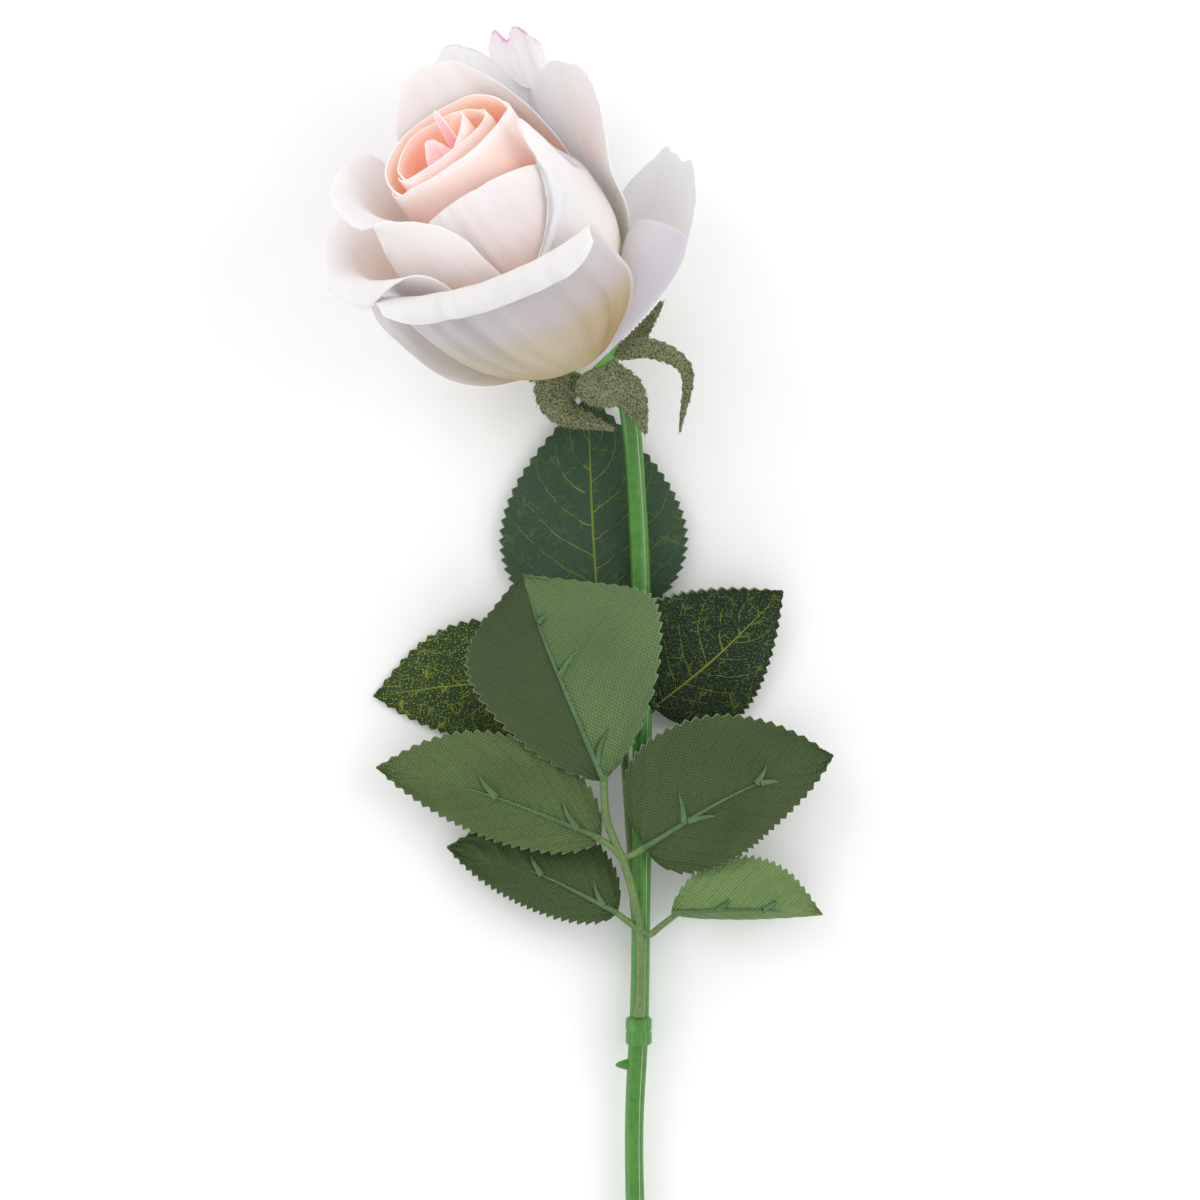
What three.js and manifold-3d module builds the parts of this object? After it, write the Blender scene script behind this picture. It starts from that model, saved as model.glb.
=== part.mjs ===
// An artificial cut rose lying on a surface: a half-open flower of separate
// fabric petals, a calyx with five sepals, two sprays of leaflets and a
// plastic stem moulded round a wire. Millimetres, +Z up, +Y from the cut end
// towards the flower.
import * as THREE from 'three';
import { mergeVertices } from 'three/addons/utils/BufferGeometryUtils.js';
import Module from 'manifold-3d';

const wasm = await Module();
wasm.setup();

// ---- driving dimensions -------------------------------------------------
const FLOWER_SIZE = 1;         // scale of the flower: 1 is 93 mm long with its calyx
const STEM_LENGTH = 310;       // calyx to cut end, measured along Y
const STEM_DIAMETER = 4.8;
const WIRE_DIAMETER = 1.2;
const LEAF_SIZE = 1;           // scale of every leaflet about its own base
const PETAL_THICKNESS = 0.5;
const LEAF_THICKNESS = 0.8;
const SEPAL_THICKNESS = 0.7;
const STALK_DIAMETER = 2.2;    // leaf stalks
const COLLAR_DIAMETER = 6.6;   // moulded collar that the leaf stalks plug into
const COLLAR_HEIGHT = 7;
const CLEARANCE = 0.3;         // gap kept between neighbouring pieces
const HEAD_TILT = 62;          // degrees from upright that the lying head leans
const HEAD_HEADING = 36.87;    // degrees, left of +Y, that it leans towards
const CALYX_BASE = new THREE.Vector3(-2.5, 62, 23.4 * FLOWER_SIZE);
const CALYX_DEPTH = 14;

const radians = THREE.MathUtils.degToRad;

// ---- materials ----------------------------------------------------------
const material = (color, roughness) => new THREE.MeshStandardMaterial({ color, roughness, metalness: 0 });
const WHITE_PETAL = 0xf1ecec;
const BLUSH_PETAL = 0xf3ddd0;
const PEACH_PETAL = 0xf0bb9a;
const PINK_PETAL = 0xf0a5a6;

// ---- helpers ------------------------------------------------------------
function smooth(x) {
  const t = THREE.MathUtils.clamp(x, 0, 1);
  return t * t * (3 - 2 * t);
}

// A closed sheet: a grid of points from a surface function, thickened both
// ways along its normal and closed round the rim.
function sheet(point, columns, rows, thickness, rowSpacing = 1) {
  const positions = [];
  const indices = [];
  const eps = 1e-3;
  for (const side of [1, -1]) {
    for (let j = 0; j <= rows; j += 1) {
      const v = 1 - (1 - j / rows) ** rowSpacing;
      for (let i = 0; i <= columns; i += 1) {
        const u = -1 + (2 * i) / columns;
        const ahead = point(Math.min(u + eps, 1), v);
        const behind = point(Math.max(u - eps, -1), v);
        const above = point(u, Math.min(v + eps, 1));
        const below = point(u, Math.max(v - eps, 0));
        const normal = ahead.sub(behind).cross(above.sub(below)).normalize();
        const place = point(u, v).addScaledVector(normal, (side * thickness) / 2);
        positions.push(place.x, place.y, place.z);
      }
    }
  }
  const width = columns + 1;
  const back = width * (rows + 1);
  const quad = (a, b, c, d) => indices.push(a, b, c, a, c, d);
  for (let j = 0; j < rows; j += 1) {
    for (let i = 0; i < columns; i += 1) {
      const a = j * width + i;
      quad(a, a + 1, a + 1 + width, a + width);
      quad(back + a, back + a + width, back + a + 1 + width, back + a + 1);
    }
  }
  for (let i = 0; i < columns; i += 1) {
    const top = rows * width + i;
    quad(i + 1, i, back + i, back + i + 1);
    quad(top, top + 1, back + top + 1, back + top);
  }
  for (let j = 0; j < rows; j += 1) {
    const left = j * width;
    const right = j * width + columns;
    quad(left, left + width, back + left + width, back + left);
    quad(right + width, right, back + right, back + right + width);
  }
  const geometry = new THREE.BufferGeometry();
  geometry.setAttribute('position', new THREE.Float32BufferAttribute(positions, 3));
  geometry.setIndex(indices);
  return geometry;
}

function solid(geometry) {
  const bare = geometry.clone();
  bare.deleteAttribute('normal');
  bare.deleteAttribute('uv');
  const merged = mergeVertices(bare, 1e-4);
  return new wasm.Manifold(new wasm.Mesh({
    numProp: 3,
    vertProperties: new Float32Array(merged.attributes.position.array),
    triVerts: new Uint32Array(merged.index.array),
  }));
}

function geometryOf(manifold) {
  const mesh = manifold.getMesh();
  const geometry = new THREE.BufferGeometry();
  geometry.setAttribute('position', new THREE.BufferAttribute(mesh.vertProperties, 3));
  geometry.setIndex(new THREE.BufferAttribute(mesh.triVerts, 1));
  return geometry;
}

function largestPiece(manifold) {
  const pieces = manifold.decompose();
  return pieces.reduce((best, piece) => (piece.volume() > best.volume() ? piece : best));
}

// What has been placed so far, each solid grown by the clearance: a later
// sheet is cut back where it would come that near, and its main part kept.
const occupied = [];
function cutClear(body, obstacles = occupied) {
  let rest = body;
  for (const obstacle of obstacles) {
    if (rest.intersect(obstacle).volume() > 0) {
      rest = largestPiece(rest.subtract(obstacle));
    }
  }
  return rest;
}

function grownSheet(surface, columns, rows, thickness, rowSpacing) {
  const room = thickness + 2 * CLEARANCE;
  const wider = (u, v) => surface(1.03 * u, v);
  return solid(sheet(wider, columns, rows, room, rowSpacing))
    .add(solid(sheet(surface, columns, rows, room, rowSpacing)))
    .add(solid(sheet(surface, columns, rows, thickness + 0.2, rowSpacing)))
    .add(solid(sheet(surface, columns, rows, thickness, rowSpacing)));
}

function tube(points, diameter, steps, sides) {
  const path = new THREE.CatmullRomCurve3(points, false, 'catmullrom', 0.5);
  const section = new THREE.Shape();
  for (let i = 0; i < sides; i += 1) {
    const angle = (2 * Math.PI * i) / sides;
    section[i === 0 ? 'moveTo' : 'lineTo'](Math.cos(angle) * diameter / 2, Math.sin(angle) * diameter / 2);
  }
  section.closePath();
  return new THREE.ExtrudeGeometry(section, { steps, extrudePath: path, bevelEnabled: false });
}

const rose = new THREE.Group();
const model = new THREE.Group();
rose.add(model);

function addMesh(name, geometry, color, roughness, parent = model) {
  const mesh = new THREE.Mesh(geometry, material(color, roughness));
  mesh.name = name;
  parent.add(mesh);
  return mesh;
}

// ---- flower -------------------------------------------------------------
// The head's own frame: z is the flower's axis, x faces the sky and y the
// right, so an azimuth of 0 faces up, 90 right and 180 the surface.
const head = new THREE.Group();
const tilt = radians(HEAD_TILT);
const heading = radians(HEAD_HEADING);
const axis = new THREE.Vector3(
  -Math.sin(heading) * Math.sin(tilt),
  Math.cos(heading) * Math.sin(tilt),
  Math.cos(tilt),
);
const across = new THREE.Vector3(Math.cos(heading), Math.sin(heading), 0);
const skyward = new THREE.Vector3().crossVectors(across, axis);
head.position.copy(CALYX_BASE);
head.quaternion.setFromRotationMatrix(
  new THREE.Matrix4().makeBasis(skyward, across, axis),
);
model.add(head);

// Layer 0 is the outermost whorl; each layer starts further up and further in.
const rootOf = (layer) => [8.2 - 0.5 * layer, 0.2 + 1.05 * layer];

// A petal is a midline seen from the side (radius, height), swept across an
// arc about the flower's axis. cup is the arc's curvature against the radius
// at the foot and at the rim; roll turns a side margin outwards, given as its
// width, its turn in degrees and where up the petal it begins; spiral sets one
// side further out than the other, so that neighbours lap.
function petalSurface(p) {
  const midline = new THREE.SplineCurve(
    [rootOf(p.layer), ...p.midline].map(([r, h]) => new THREE.Vector2(r, h).multiplyScalar(FLOWER_SIZE)),
  );
  const widest = [];
  for (let k = 0; k <= 60; k += 1) {
    widest.push(Math.max(widest[k - 1] ?? 3 * FLOWER_SIZE, midline.getPointAt(k / 60).x));
  }
  const rounding = p.rounding ?? 0.8;
  const [cupFoot, cupRim] = p.cup ?? [1, 1];
  const width = p.width * FLOWER_SIZE;
  return (u, v) => {
    const along = v * Math.sqrt(1 - (rounding * u * u) / 2 * v);
    const mid = midline.getPointAt(Math.min(along, 1));
    const spread = 0.2 + 0.8 * smooth(v / (p.shoulder ?? 0.6));
    const narrowing = 1 - (p.taper ?? 0) * smooth((v - 0.4) / 0.6);
    const half = (width / 2) * spread * narrowing * Math.sqrt(1 - (rounding * v * v) / 2);
    const cup = cupFoot + (cupRim - cupFoot) * smooth((v - 0.3) / 0.6);
    const step = Math.min(Math.floor(along * 60), 59);
    const bend = cup / THREE.MathUtils.lerp(widest[step], widest[step + 1], along * 60 - step);
    const [margin, turn, from] = (u < 0 ? p.rollLeft : p.rollRight) ?? [0, 0, 0];
    const rolled = Math.min(margin * FLOWER_SIZE * smooth((v - from) / 0.3), 0.9 * half);
    const distance = Math.abs(u) * half;
    const flat = rolled > 0 ? Math.min(distance, half - rolled) : distance;
    let x = Math.sin(bend * flat) / bend;
    let y = (1 - Math.cos(bend * flat)) / bend;
    if (distance > flat) {
      const angle = bend * flat;
      const unbend = -radians(turn) / (margin * FLOWER_SIZE);
      const reached = angle + unbend * (distance - flat);
      x += (Math.sin(reached) - Math.sin(angle)) / unbend;
      y += (Math.cos(angle) - Math.cos(reached)) / unbend;
    }
    x *= Math.sign(u);
    const radius = mid.x - y + (p.spiral ?? 0) * FLOWER_SIZE * u * smooth(2 * v);
    const height = mid.y + (p.slope ?? 0) * x * smooth(1.5 * v);
    const azimuth = radians(p.azimuth + (p.lean ?? 0) * v);
    const [shiftX, shiftY] = p.shift ?? [0, 0];
    const settle = smooth(1.3 * v) * FLOWER_SIZE;
    return new THREE.Vector3(
      radius * Math.cos(azimuth) - x * Math.sin(azimuth) + shiftX * settle,
      radius * Math.sin(azimuth) + x * Math.cos(azimuth) + shiftY * settle,
      height,
    );
  };
}

const petals = {
  guard_petal_low: {
    layer: 0, azimuth: -124, width: 58, cup: [1, 0.95], rounding: 0.9, spiral: 1.5,
    midline: [[19, 6], [31, 18], [36, 33], [40.5, 42]],
  },
  guard_petal_right: {
    layer: 0, azimuth: 108, width: 46, cup: [0.7, 0.4], rounding: 0.9, shoulder: 0.7,
    midline: [[15, 3.5], [27, 9], [39, 16], [50, 23.5]],
  },
  guard_petal_back: {
    layer: 0, azimuth: 168, width: 54, cup: [1, 0.9], spiral: 1.5,
    midline: [[20, 6], [34, 20], [42, 36], [47, 45], [50, 46]],
  },
  guard_petal_front: {
    layer: 1, azimuth: -20, width: 61, cup: [1, 0.95], rounding: 0.35, slope: -0.23, spiral: -2,
    midline: [[17, 6], [27, 17], [32, 32], [33.5, 42], [36, 46.5], [39, 45.5], [40, 42]],
  },
  guard_petal_left: {
    layer: 2, azimuth: -93, width: 66, rounding: 0.5, slope: -0.03, spiral: -2,
    midline: [[17, 7], [27, 18], [31.5, 36], [34, 51], [38, 58.5], [42, 57.5], [43, 52]],
  },
  twisted_petal: {
    layer: 1, azimuth: 140, width: 26, cup: [1, 0.8], rollLeft: [6, 80, 0.5], rollRight: [6, 80, 0.5],
    midline: [[18, 8], [29.5, 28], [38, 54], [46, 68]],
  },
  back_petal: {
    layer: 2, azimuth: 152, width: 30, cup: [1, 0.9], rounding: 0.7, spiral: -2,
    midline: [[17, 9], [27, 28], [30, 52], [34, 75]],
  },
  right_back_petal: {
    layer: 3, azimuth: 100, width: 44, cup: [1, 0.6], rounding: 0.45, shoulder: 0.9, spiral: -1.5,
    midline: [[16, 9], [26, 26], [29, 42], [39, 62]],
  },
  left_front_petal: {
    layer: 4, azimuth: -54, width: 40, rounding: 0.7,
    midline: [[15, 9], [24.5, 26], [27, 46], [26, 60], [27.5, 67]],
  },
  right_petal: {
    layer: 5, azimuth: 48, width: 72, rounding: 0.9, taper: 0.8, shoulder: 0.5, lean: 6,
    rollLeft: [4, 170, 0.35],
    midline: [[14, 9], [24, 26], [25, 44], [24, 56], [23, 67]],
  },
  front_petal: {
    layer: 6, azimuth: -9, width: 50, rounding: 0.45, slope: -0.02,
    midline: [[14, 10], [22.5, 28], [23, 46], [21, 62]],
  },
  left_petal: {
    layer: 7, azimuth: -94, width: 54, rounding: 0.6, spiral: -3, slope: -0.3,
    midline: [[14, 11], [21.5, 28], [22.5, 50], [23.5, 64], [25, 69.5], [27, 69]],
  },
  inner_back_petal: {
    layer: 8, azimuth: 171, width: 56, rounding: 0.9, shift: [0, 4],
    midline: [[12, 12], [20, 30], [20.5, 52], [18.5, 68], [20, 79]],
  },
  outer_ring_front: {
    layer: 9, azimuth: 5, width: 60, rounding: 0.1, spiral: 0.8, shift: [0, 1], slope: 0.03,
    midline: [[11, 14], [17, 32], [17.5, 50], [16.5, 65]],
  },
  outer_ring_back: {
    layer: 9, azimuth: 185, width: 56, rounding: 0.1, spiral: 0.8, shift: [0, 1],
    midline: [[11, 14], [17, 32], [17.5, 52], [16, 69]],
  },
  inner_ring_front: {
    layer: 10, azimuth: 15, width: 44, rounding: 0.1, spiral: 0.8,
    midline: [[7.5, 16], [12.5, 32], [13, 52], [11.6, 68]],
  },
  inner_ring_back: {
    layer: 10, azimuth: 195, width: 40, rounding: 0.1, spiral: 0.8,
    midline: [[7.5, 16], [12.5, 32], [13, 52], [11.2, 70.5]],
  },
  core_petal_front: {
    layer: 11, azimuth: -30, width: 26,
    midline: [[5, 18], [8, 32], [8, 52], [6, 69]],
  },
  core_petal_back: {
    layer: 11, azimuth: 110, width: 18, rounding: 0.9, taper: 0.4,
    midline: [[3, 20], [5, 32], [5, 52], [3.5, 71]],
  },
};

const petalColours = (name) => {
  if (name.startsWith('core')) return PINK_PETAL;
  if (name.includes('ring')) return PEACH_PETAL;
  if (/^(front|left|right|inner)/.test(name)) return BLUSH_PETAL;
  return WHITE_PETAL;
};

// The innermost petals are placed first, and the outer ones give way to them.
const petalsPlaced = [];
for (const [name, p] of Object.entries(petals).reverse()) {
  const surface = petalSurface(p);
  const columns = p.rollLeft ? 12 : 8;
  const body = cutClear(solid(sheet(surface, columns, 7, PETAL_THICKNESS, 1.25)), petalsPlaced);
  petalsPlaced.push(grownSheet(surface, columns, 7, PETAL_THICKNESS, 1.25));
  addMesh(name, geometryOf(body), petalColours(name), 0.85, head);
}
head.updateMatrix();
for (const petal of petalsPlaced) {
  occupied.push(petal.transform(head.matrix.elements));
}

// Receptacle, neck and swollen cup that hold the petals.
const calyxProfile = [
  [0, -CALYX_DEPTH], [2.6, -CALYX_DEPTH], [3.1, -9.5], [4.6, -6], [6.6, -3], [7.7, -1.2], [7.2, -0.5],
  [5.6, 3], [3.6, 7.5], [1.5, 11.8], [0, 12.4],
].map(([r, h]) => new THREE.Vector2(r * FLOWER_SIZE, h * FLOWER_SIZE));
const calyx = solid(new THREE.LatheGeometry(calyxProfile, 16).rotateX(Math.PI / 2));
addMesh('calyx', geometryOf(calyx), 0x4f8f3a, 0.5, head);
const calyxRoom = calyxProfile.map(({ x, y }) => new THREE.Vector2(x > 0 ? x + CLEARANCE : 0, 1.02 * y));
const calyxSpace = solid(new THREE.LatheGeometry(calyxRoom, 16).rotateX(Math.PI / 2));
occupied.push(calyxSpace.transform(head.matrix.elements));

// The near margin of the right guard petal: a sheet rolled into an open cone
// round a line, narrow at the foot. Its points are from the calyx base.
const ROLL_OPENING = 60;   // degrees left open along the underside of the roll
const rollLine = new THREE.CatmullRomCurve3(
  [[-2.1, -5.4, 4.6], [3.5, 1.5, 10.6], [10.1, 11.5, 16.6], [15.1, 21, 19.6], [18.7, 29.5, 20.6]]
    .map((p) => new THREE.Vector3(...p)),
  false, 'catmullrom', 0.5,
);
function rollSurface(u, v) {
  const along = v * Math.sqrt(1 - 0.42 * u * u * v);
  const ahead = rollLine.getTangent(along);
  const side = new THREE.Vector3().crossVectors(ahead, new THREE.Vector3(0.1, -0.1, 1)).normalize();
  const lift = new THREE.Vector3().crossVectors(side, ahead);
  const radius = 1.5 + 5.9 * smooth(along / 0.85) - smooth((along - 0.8) / 0.2);
  const angle = radians(180 - ROLL_OPENING / 2) * u;
  return rollLine.getPoint(along)
    .addScaledVector(side, radius * Math.sin(angle))
    .addScaledVector(lift, 0.72 * radius * Math.cos(angle))
    .multiplyScalar(FLOWER_SIZE).add(CALYX_BASE);
}
const rollBody = cutClear(solid(sheet(rollSurface, 12, 8, PETAL_THICKNESS)));
occupied.push(grownSheet(rollSurface, 12, 8, PETAL_THICKNESS));
addMesh('guard_petal_roll', geometryOf(rollBody), WHITE_PETAL, 0.85);

// ---- stem ---------------------------------------------------------------
// It leaves the calyx along the flower's axis, levels out and comes down to
// rest on its cut end.
const neck = CALYX_BASE.clone().addScaledVector(axis, -(CALYX_DEPTH + CLEARANCE) * FLOWER_SIZE);
const cutY = neck.y - STEM_LENGTH;
const COLLAR_Y = -105;
const belowCollar = (part) => THREE.MathUtils.lerp(COLLAR_Y, cutY, part);
const at = (x, y, z) => new THREE.Vector3(x, y, z);
const stemLine = [
  neck.clone(),
  neck.clone().addScaledVector(axis, -4),
  at(8.6, 35, 11.4),
  at(10.2, 5, 9.6),
  at(10.6, -40, 8.8),
  at(10, -100, 7.4),
  at(8.6, belowCollar(0.23), 6.2),
  at(11, belowCollar(0.62), 4.3),
  at(15, cutY, STEM_DIAMETER / 2),
];
const stemPath = new THREE.CatmullRomCurve3(stemLine, false, 'catmullrom', 0.5);

function stemParameter(y) {
  let low = 0;
  let high = 1;
  for (let i = 0; i < 30; i += 1) {
    const t = (low + high) / 2;
    if (stemPath.getPoint(t).y > y) low = t;
    else high = t;
  }
  return low;
}
const stemAtY = (y) => stemPath.getPoint(stemParameter(y));

// The wire and its bore follow the stem's own line, from startY to past the
// cut end by overrun.
function alongCore(startY, overrun) {
  const from = stemParameter(startY);
  const points = [];
  for (let i = 0; i <= 15; i += 1) {
    points.push(stemPath.getPoint(THREE.MathUtils.lerp(from, 1, i / 15)));
  }
  points.at(-1).addScaledVector(stemPath.getTangent(1), overrun);
  return points;
}

const collarAt = stemAtY(COLLAR_Y - COLLAR_HEIGHT / 2);
const socketOffset = STEM_DIAMETER / 2 + STALK_DIAMETER / 2 + 0.2;
function alongStem(radius, height, sides, z) {
  return solid(new THREE.CylinderGeometry(radius, radius, height, sides))
    .translate([collarAt.x, collarAt.y, z]);
}
const nubAt = stemAtY(-117);
const nub = solid(new THREE.CylinderGeometry(1, 1.6, 4.5, 8).rotateZ(Math.PI / 3.2))
  .translate([nubAt.x - 2.6, nubAt.y, nubAt.z]);
const bore = tube(alongCore(neck.y - 12, 1), WIRE_DIAMETER + 2 * CLEARANCE, 30, 6);
const stem = solid(tube(stemLine, STEM_DIAMETER, 36, 8))
  .add(alongStem(COLLAR_DIAMETER / 2, COLLAR_HEIGHT, 14, collarAt.z))
  .add(alongStem(STALK_DIAMETER / 2 + 0.8, COLLAR_HEIGHT, 10, collarAt.z + socketOffset))
  .add(alongStem(STALK_DIAMETER / 2 + 0.6, COLLAR_HEIGHT, 10, collarAt.z - socketOffset))
  .add(nub)
  .subtract(solid(bore));
addMesh('stem', geometryOf(stem), 0x3f8a2c, 0.35);
occupied.push(solid(tube(stemLine, STEM_DIAMETER + 2 * CLEARANCE, 36, 8)));
const wire = tube(alongCore(neck.y - 13, 0), WIRE_DIAMETER, 30, 6);
addMesh('stem_wire', geometryOf(solid(wire)), 0x8f9294, 0.4);

// ---- leaf sprays --------------------------------------------------------
// Each spray is one moulded stalk with side arms, plugged into the collar.
const collarTop = COLLAR_Y + CLEARANCE;
const arm = (points, diameter) => solid(tube(points, diameter, 2 * points.length, 6));
const joined = (solids) => solids.reduce((a, b) => a.add(b));

const sideArm = 0.8 * STALK_DIAMETER;
function addStalk(name, color, lines) {
  const stalk = (extra) => lines.map(([points, diameter]) => arm(points, diameter + extra))
    .reduce((a, b) => a.add(b));
  addMesh(name, geometryOf(stalk(0)), color, 0.45);
  occupied.push(stalk(2 * CLEARANCE));
}

const frontFork = at(5.5, -64.5, 15.5);
const frontCrook = at(10, -83, 12.2);
addStalk('front_stalk', 0x6b8f3c, [
  [[at(collarAt.x, collarTop, collarAt.z + socketOffset), at(10.2, -97, 11.4), frontCrook,
    at(8, -72.5, 14), frontFork, at(1.75, -55, 17), at(1, -46.5, 18.2)], STALK_DIAMETER],
  [[frontFork, at(3.4, -62.6, 15.9), at(1.2, -60.2, 16.4)], sideArm],
  [[frontFork, at(7.4, -63.9, 15.9), at(9.8, -62.6, 16.4)], sideArm],
  [[frontCrook, at(7.8, -81.4, 12.6), at(5.4, -79.2, 12.8)], sideArm],
  [[frontCrook, at(12.5, -83.8, 12.4), at(15.6, -82, 12.5), at(17.4, -79.4, 12.6)], sideArm],
]);

const rearFork = at(5.5, -33, 2.3);
addStalk('rear_stalk', 0x4f7a34, [
  [[at(collarAt.x, collarTop, collarAt.z - socketOffset), at(9.4, -90, 2.1), at(7.6, -60, 2),
    rearFork, at(1.8, -17, 3.4), at(0, -8.4, 4.6)], STALK_DIAMETER],
  [[rearFork, at(9.4, -31.2, 2.9), at(12.9, -28, 5.8)], sideArm],
  [[rearFork, at(3.6, -30.8, 2.3), at(1.8, -29.2, 2.2)], sideArm],
]);

// ---- sepals -------------------------------------------------------------
// Strips of flocked cloth that curl back from the calyx; their points are
// from the calyx base. A strip follows a line with one face turned towards
// "facing". halves are its half widths left and right of that line, and drops
// are the angles by which the two halves bend down.
function stripSurface({ line, halves, drops, facing, outline }) {
  const points = line.map((p) => new THREE.Vector3(...p));
  const path = new THREE.CatmullRomCurve3(points, false, 'catmullrom', 0.5);
  const face = new THREE.Vector3(...facing);
  return (u, v) => {
    const centre = path.getPoint(v);
    const side = new THREE.Vector3().crossVectors(path.getTangent(v), face).normalize();
    const lift = new THREE.Vector3().crossVectors(side, path.getTangent(v)).normalize();
    const half = halves[u < 0 ? 0 : 1] * outline(v);
    const drop = radians(drops[u < 0 ? 0 : 1]) * (0.5 + 0.5 * Math.abs(u));
    return centre.addScaledVector(side, u * half * Math.cos(drop))
      .addScaledVector(lift, -Math.abs(u) * half * Math.sin(drop));
  };
}
const sepalOutline = (v) => 0.06 + 0.94 * Math.min(1, 2.6 * v ** 0.5 * (1 - v) ** 1.1);

const sepals = {
  sepal_front: {
    halves: [7, 7], drops: [22, 22], facing: [0.15, -0.2, 1],
    line: [[-0.5, -5, 6], [3, -8.5, 5], [10, -11.5, 0.5], [14, -20.5, -4]],
  },
  sepal_left: {
    halves: [6, 6], drops: [22, 22], facing: [0.1, 0.1, 1],
    line: [[-1.5, -5.5, 2], [-8, -8.5, 1], [-6, -15, -2], [6, -19.5, -4.2]],
  },
  sepal_right: {
    halves: [2.6, 2.6], drops: [15, 15], facing: [0.3, 0.3, 1],
    line: [[6.2, -1.6, 3.8], [14.5, 0.5, 4], [24, -5, 0], [22.5, -20, -6]],
  },
  sepal_under_right: {
    halves: [2.6, 2.6], drops: [-8, -8], facing: [0.6, -0.4, -1],
    line: [[5.6, -1, -5], [12, 4, -8], [18, 12.5, -9.5]],
  },
  sepal_under_left: {
    halves: [4.5, 4.5], drops: [-8, -8], facing: [-0.3, 0, -1],
    line: [[-3, -1, -7.5], [-10, -1.5, -11], [-15, -7, -12.5]],
  },
};
for (const [name, p] of Object.entries(sepals)) {
  const surface = stripSurface({ ...p, outline: sepalOutline });
  const placedSurface = (u, v) => surface(u, v).multiplyScalar(FLOWER_SIZE).add(CALYX_BASE);
  const body = cutClear(solid(sheet(placedSurface, 2, 9, SEPAL_THICKNESS)));
  occupied.push(grownSheet(placedSurface, 2, 9, SEPAL_THICKNESS));
  addMesh(name, geometryOf(body), 0x5d6b3c, 0.95);
}

// A leaflet runs from its foot over a bent line to its tip.
const leafOutline = (foot, tip) => {
  const widest = foot / (foot + tip);
  const peak = widest ** foot * (1 - widest) ** tip;
  return (v) => Math.max(0.03, (v ** foot * (1 - v) ** tip) / peak);
};
const leaflets = {
  front_leaflet_end: {
    halves: [22, 29], drops: [14, 10], facing: [0, 0, 1], outline: leafOutline(0.7, 0.5),
    line: [[0.9, -45, 18.6], [-13, -12, 26], [-19.5, 6.4, 23.5]],
  },
  front_leaflet_upper_left: {
    halves: [11, 16], drops: [8, 10], facing: [0, -0.15, 1], outline: leafOutline(0.55, 0.7),
    line: [[0, -59.3, 16.6], [-28, -48.5, 18], [-56, -42, 11]],
  },
  front_leaflet_upper_right: {
    halves: [20, 14], drops: [12, 10], facing: [0, -0.1, 1], outline: leafOutline(0.55, 0.65),
    line: [[11, -61.8, 16.8], [34, -48, 21], [58.25, -38.9, 14]],
  },
  front_leaflet_lower_left: {
    halves: [9, 15], drops: [8, 12], facing: [0, 0.1, 1], outline: leafOutline(0.55, 0.7),
    line: [[4.2, -78.2, 13], [-17, -68, 12], [-38.5, -62.3, 6]],
  },
  front_leaflet_lower_right: {
    halves: [13.5, 12], drops: [12, 78], facing: [0, -0.1, 1], outline: leafOutline(0.6, 0.6),
    line: [[18, -78.3, 12.9], [37, -77.5, 15], [55.8, -79, 10]],
  },
  rear_leaflet_end: {
    halves: [24, 24], drops: [5, 3], facing: [0, 0, 1], outline: leafOutline(0.55, 0.65),
    line: [[-0.2, -7, 4.8], [-2, 22, 5.2], [-3, 52, 3.6]],
  },
  rear_leaflet_right: {
    halves: [25, 17], drops: [-28, 25], facing: [0, 0, 1], outline: leafOutline(0.55, 1),
    line: [[13.7, -27, 6.6], [29, -14.5, 9.2], [46, 2.2, 8]],
  },
  rear_leaflet_left: {
    halves: [15, 17], drops: [5, 4], facing: [0, 0, 1], outline: leafOutline(0.6, 0.65),
    line: [[0.6, -28.6, 2.2], [-28, -21.5, 4.4], [-57.25, -24.25, 1.2]],
  },
};
for (const [name, p] of Object.entries(leaflets)) {
  const foot = at(...p.line[0]);
  const surface = stripSurface(p);
  const scaled = (u, v) => surface(u, v).sub(foot).multiplyScalar(LEAF_SIZE).add(foot);
  const colour = name.startsWith('front') ? 0x5b7048 : 0x2c4a2b;
  const body = cutClear(solid(sheet(scaled, 4, 9, LEAF_THICKNESS)));
  occupied.push(grownSheet(scaled, 4, 9, LEAF_THICKNESS));
  addMesh(name, geometryOf(body), colour, 0.8);
}

// ---- origin -------------------------------------------------------------
// The origin is below the middle of the whole rose, on the surface it lies on.
rose.updateMatrixWorld(true);
const box = new THREE.Box3().setFromObject(rose, true);
model.position.set(-(box.min.x + box.max.x) / 2, -(box.min.y + box.max.y) / 2, -box.min.z);

export default rose;
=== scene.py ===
# %% [markdown]
# # An artificial cut rose, lying down
# The real thing is made of formed cloth petals glued round a plastic calyx, a
# plastic stem moulded on a wire, and two sprays of stamped cloth leaflets. The
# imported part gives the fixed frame, so each piece is modelled in the part's own
# drawing, in millimetres, and is put in the frame at the end of its making.

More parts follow.
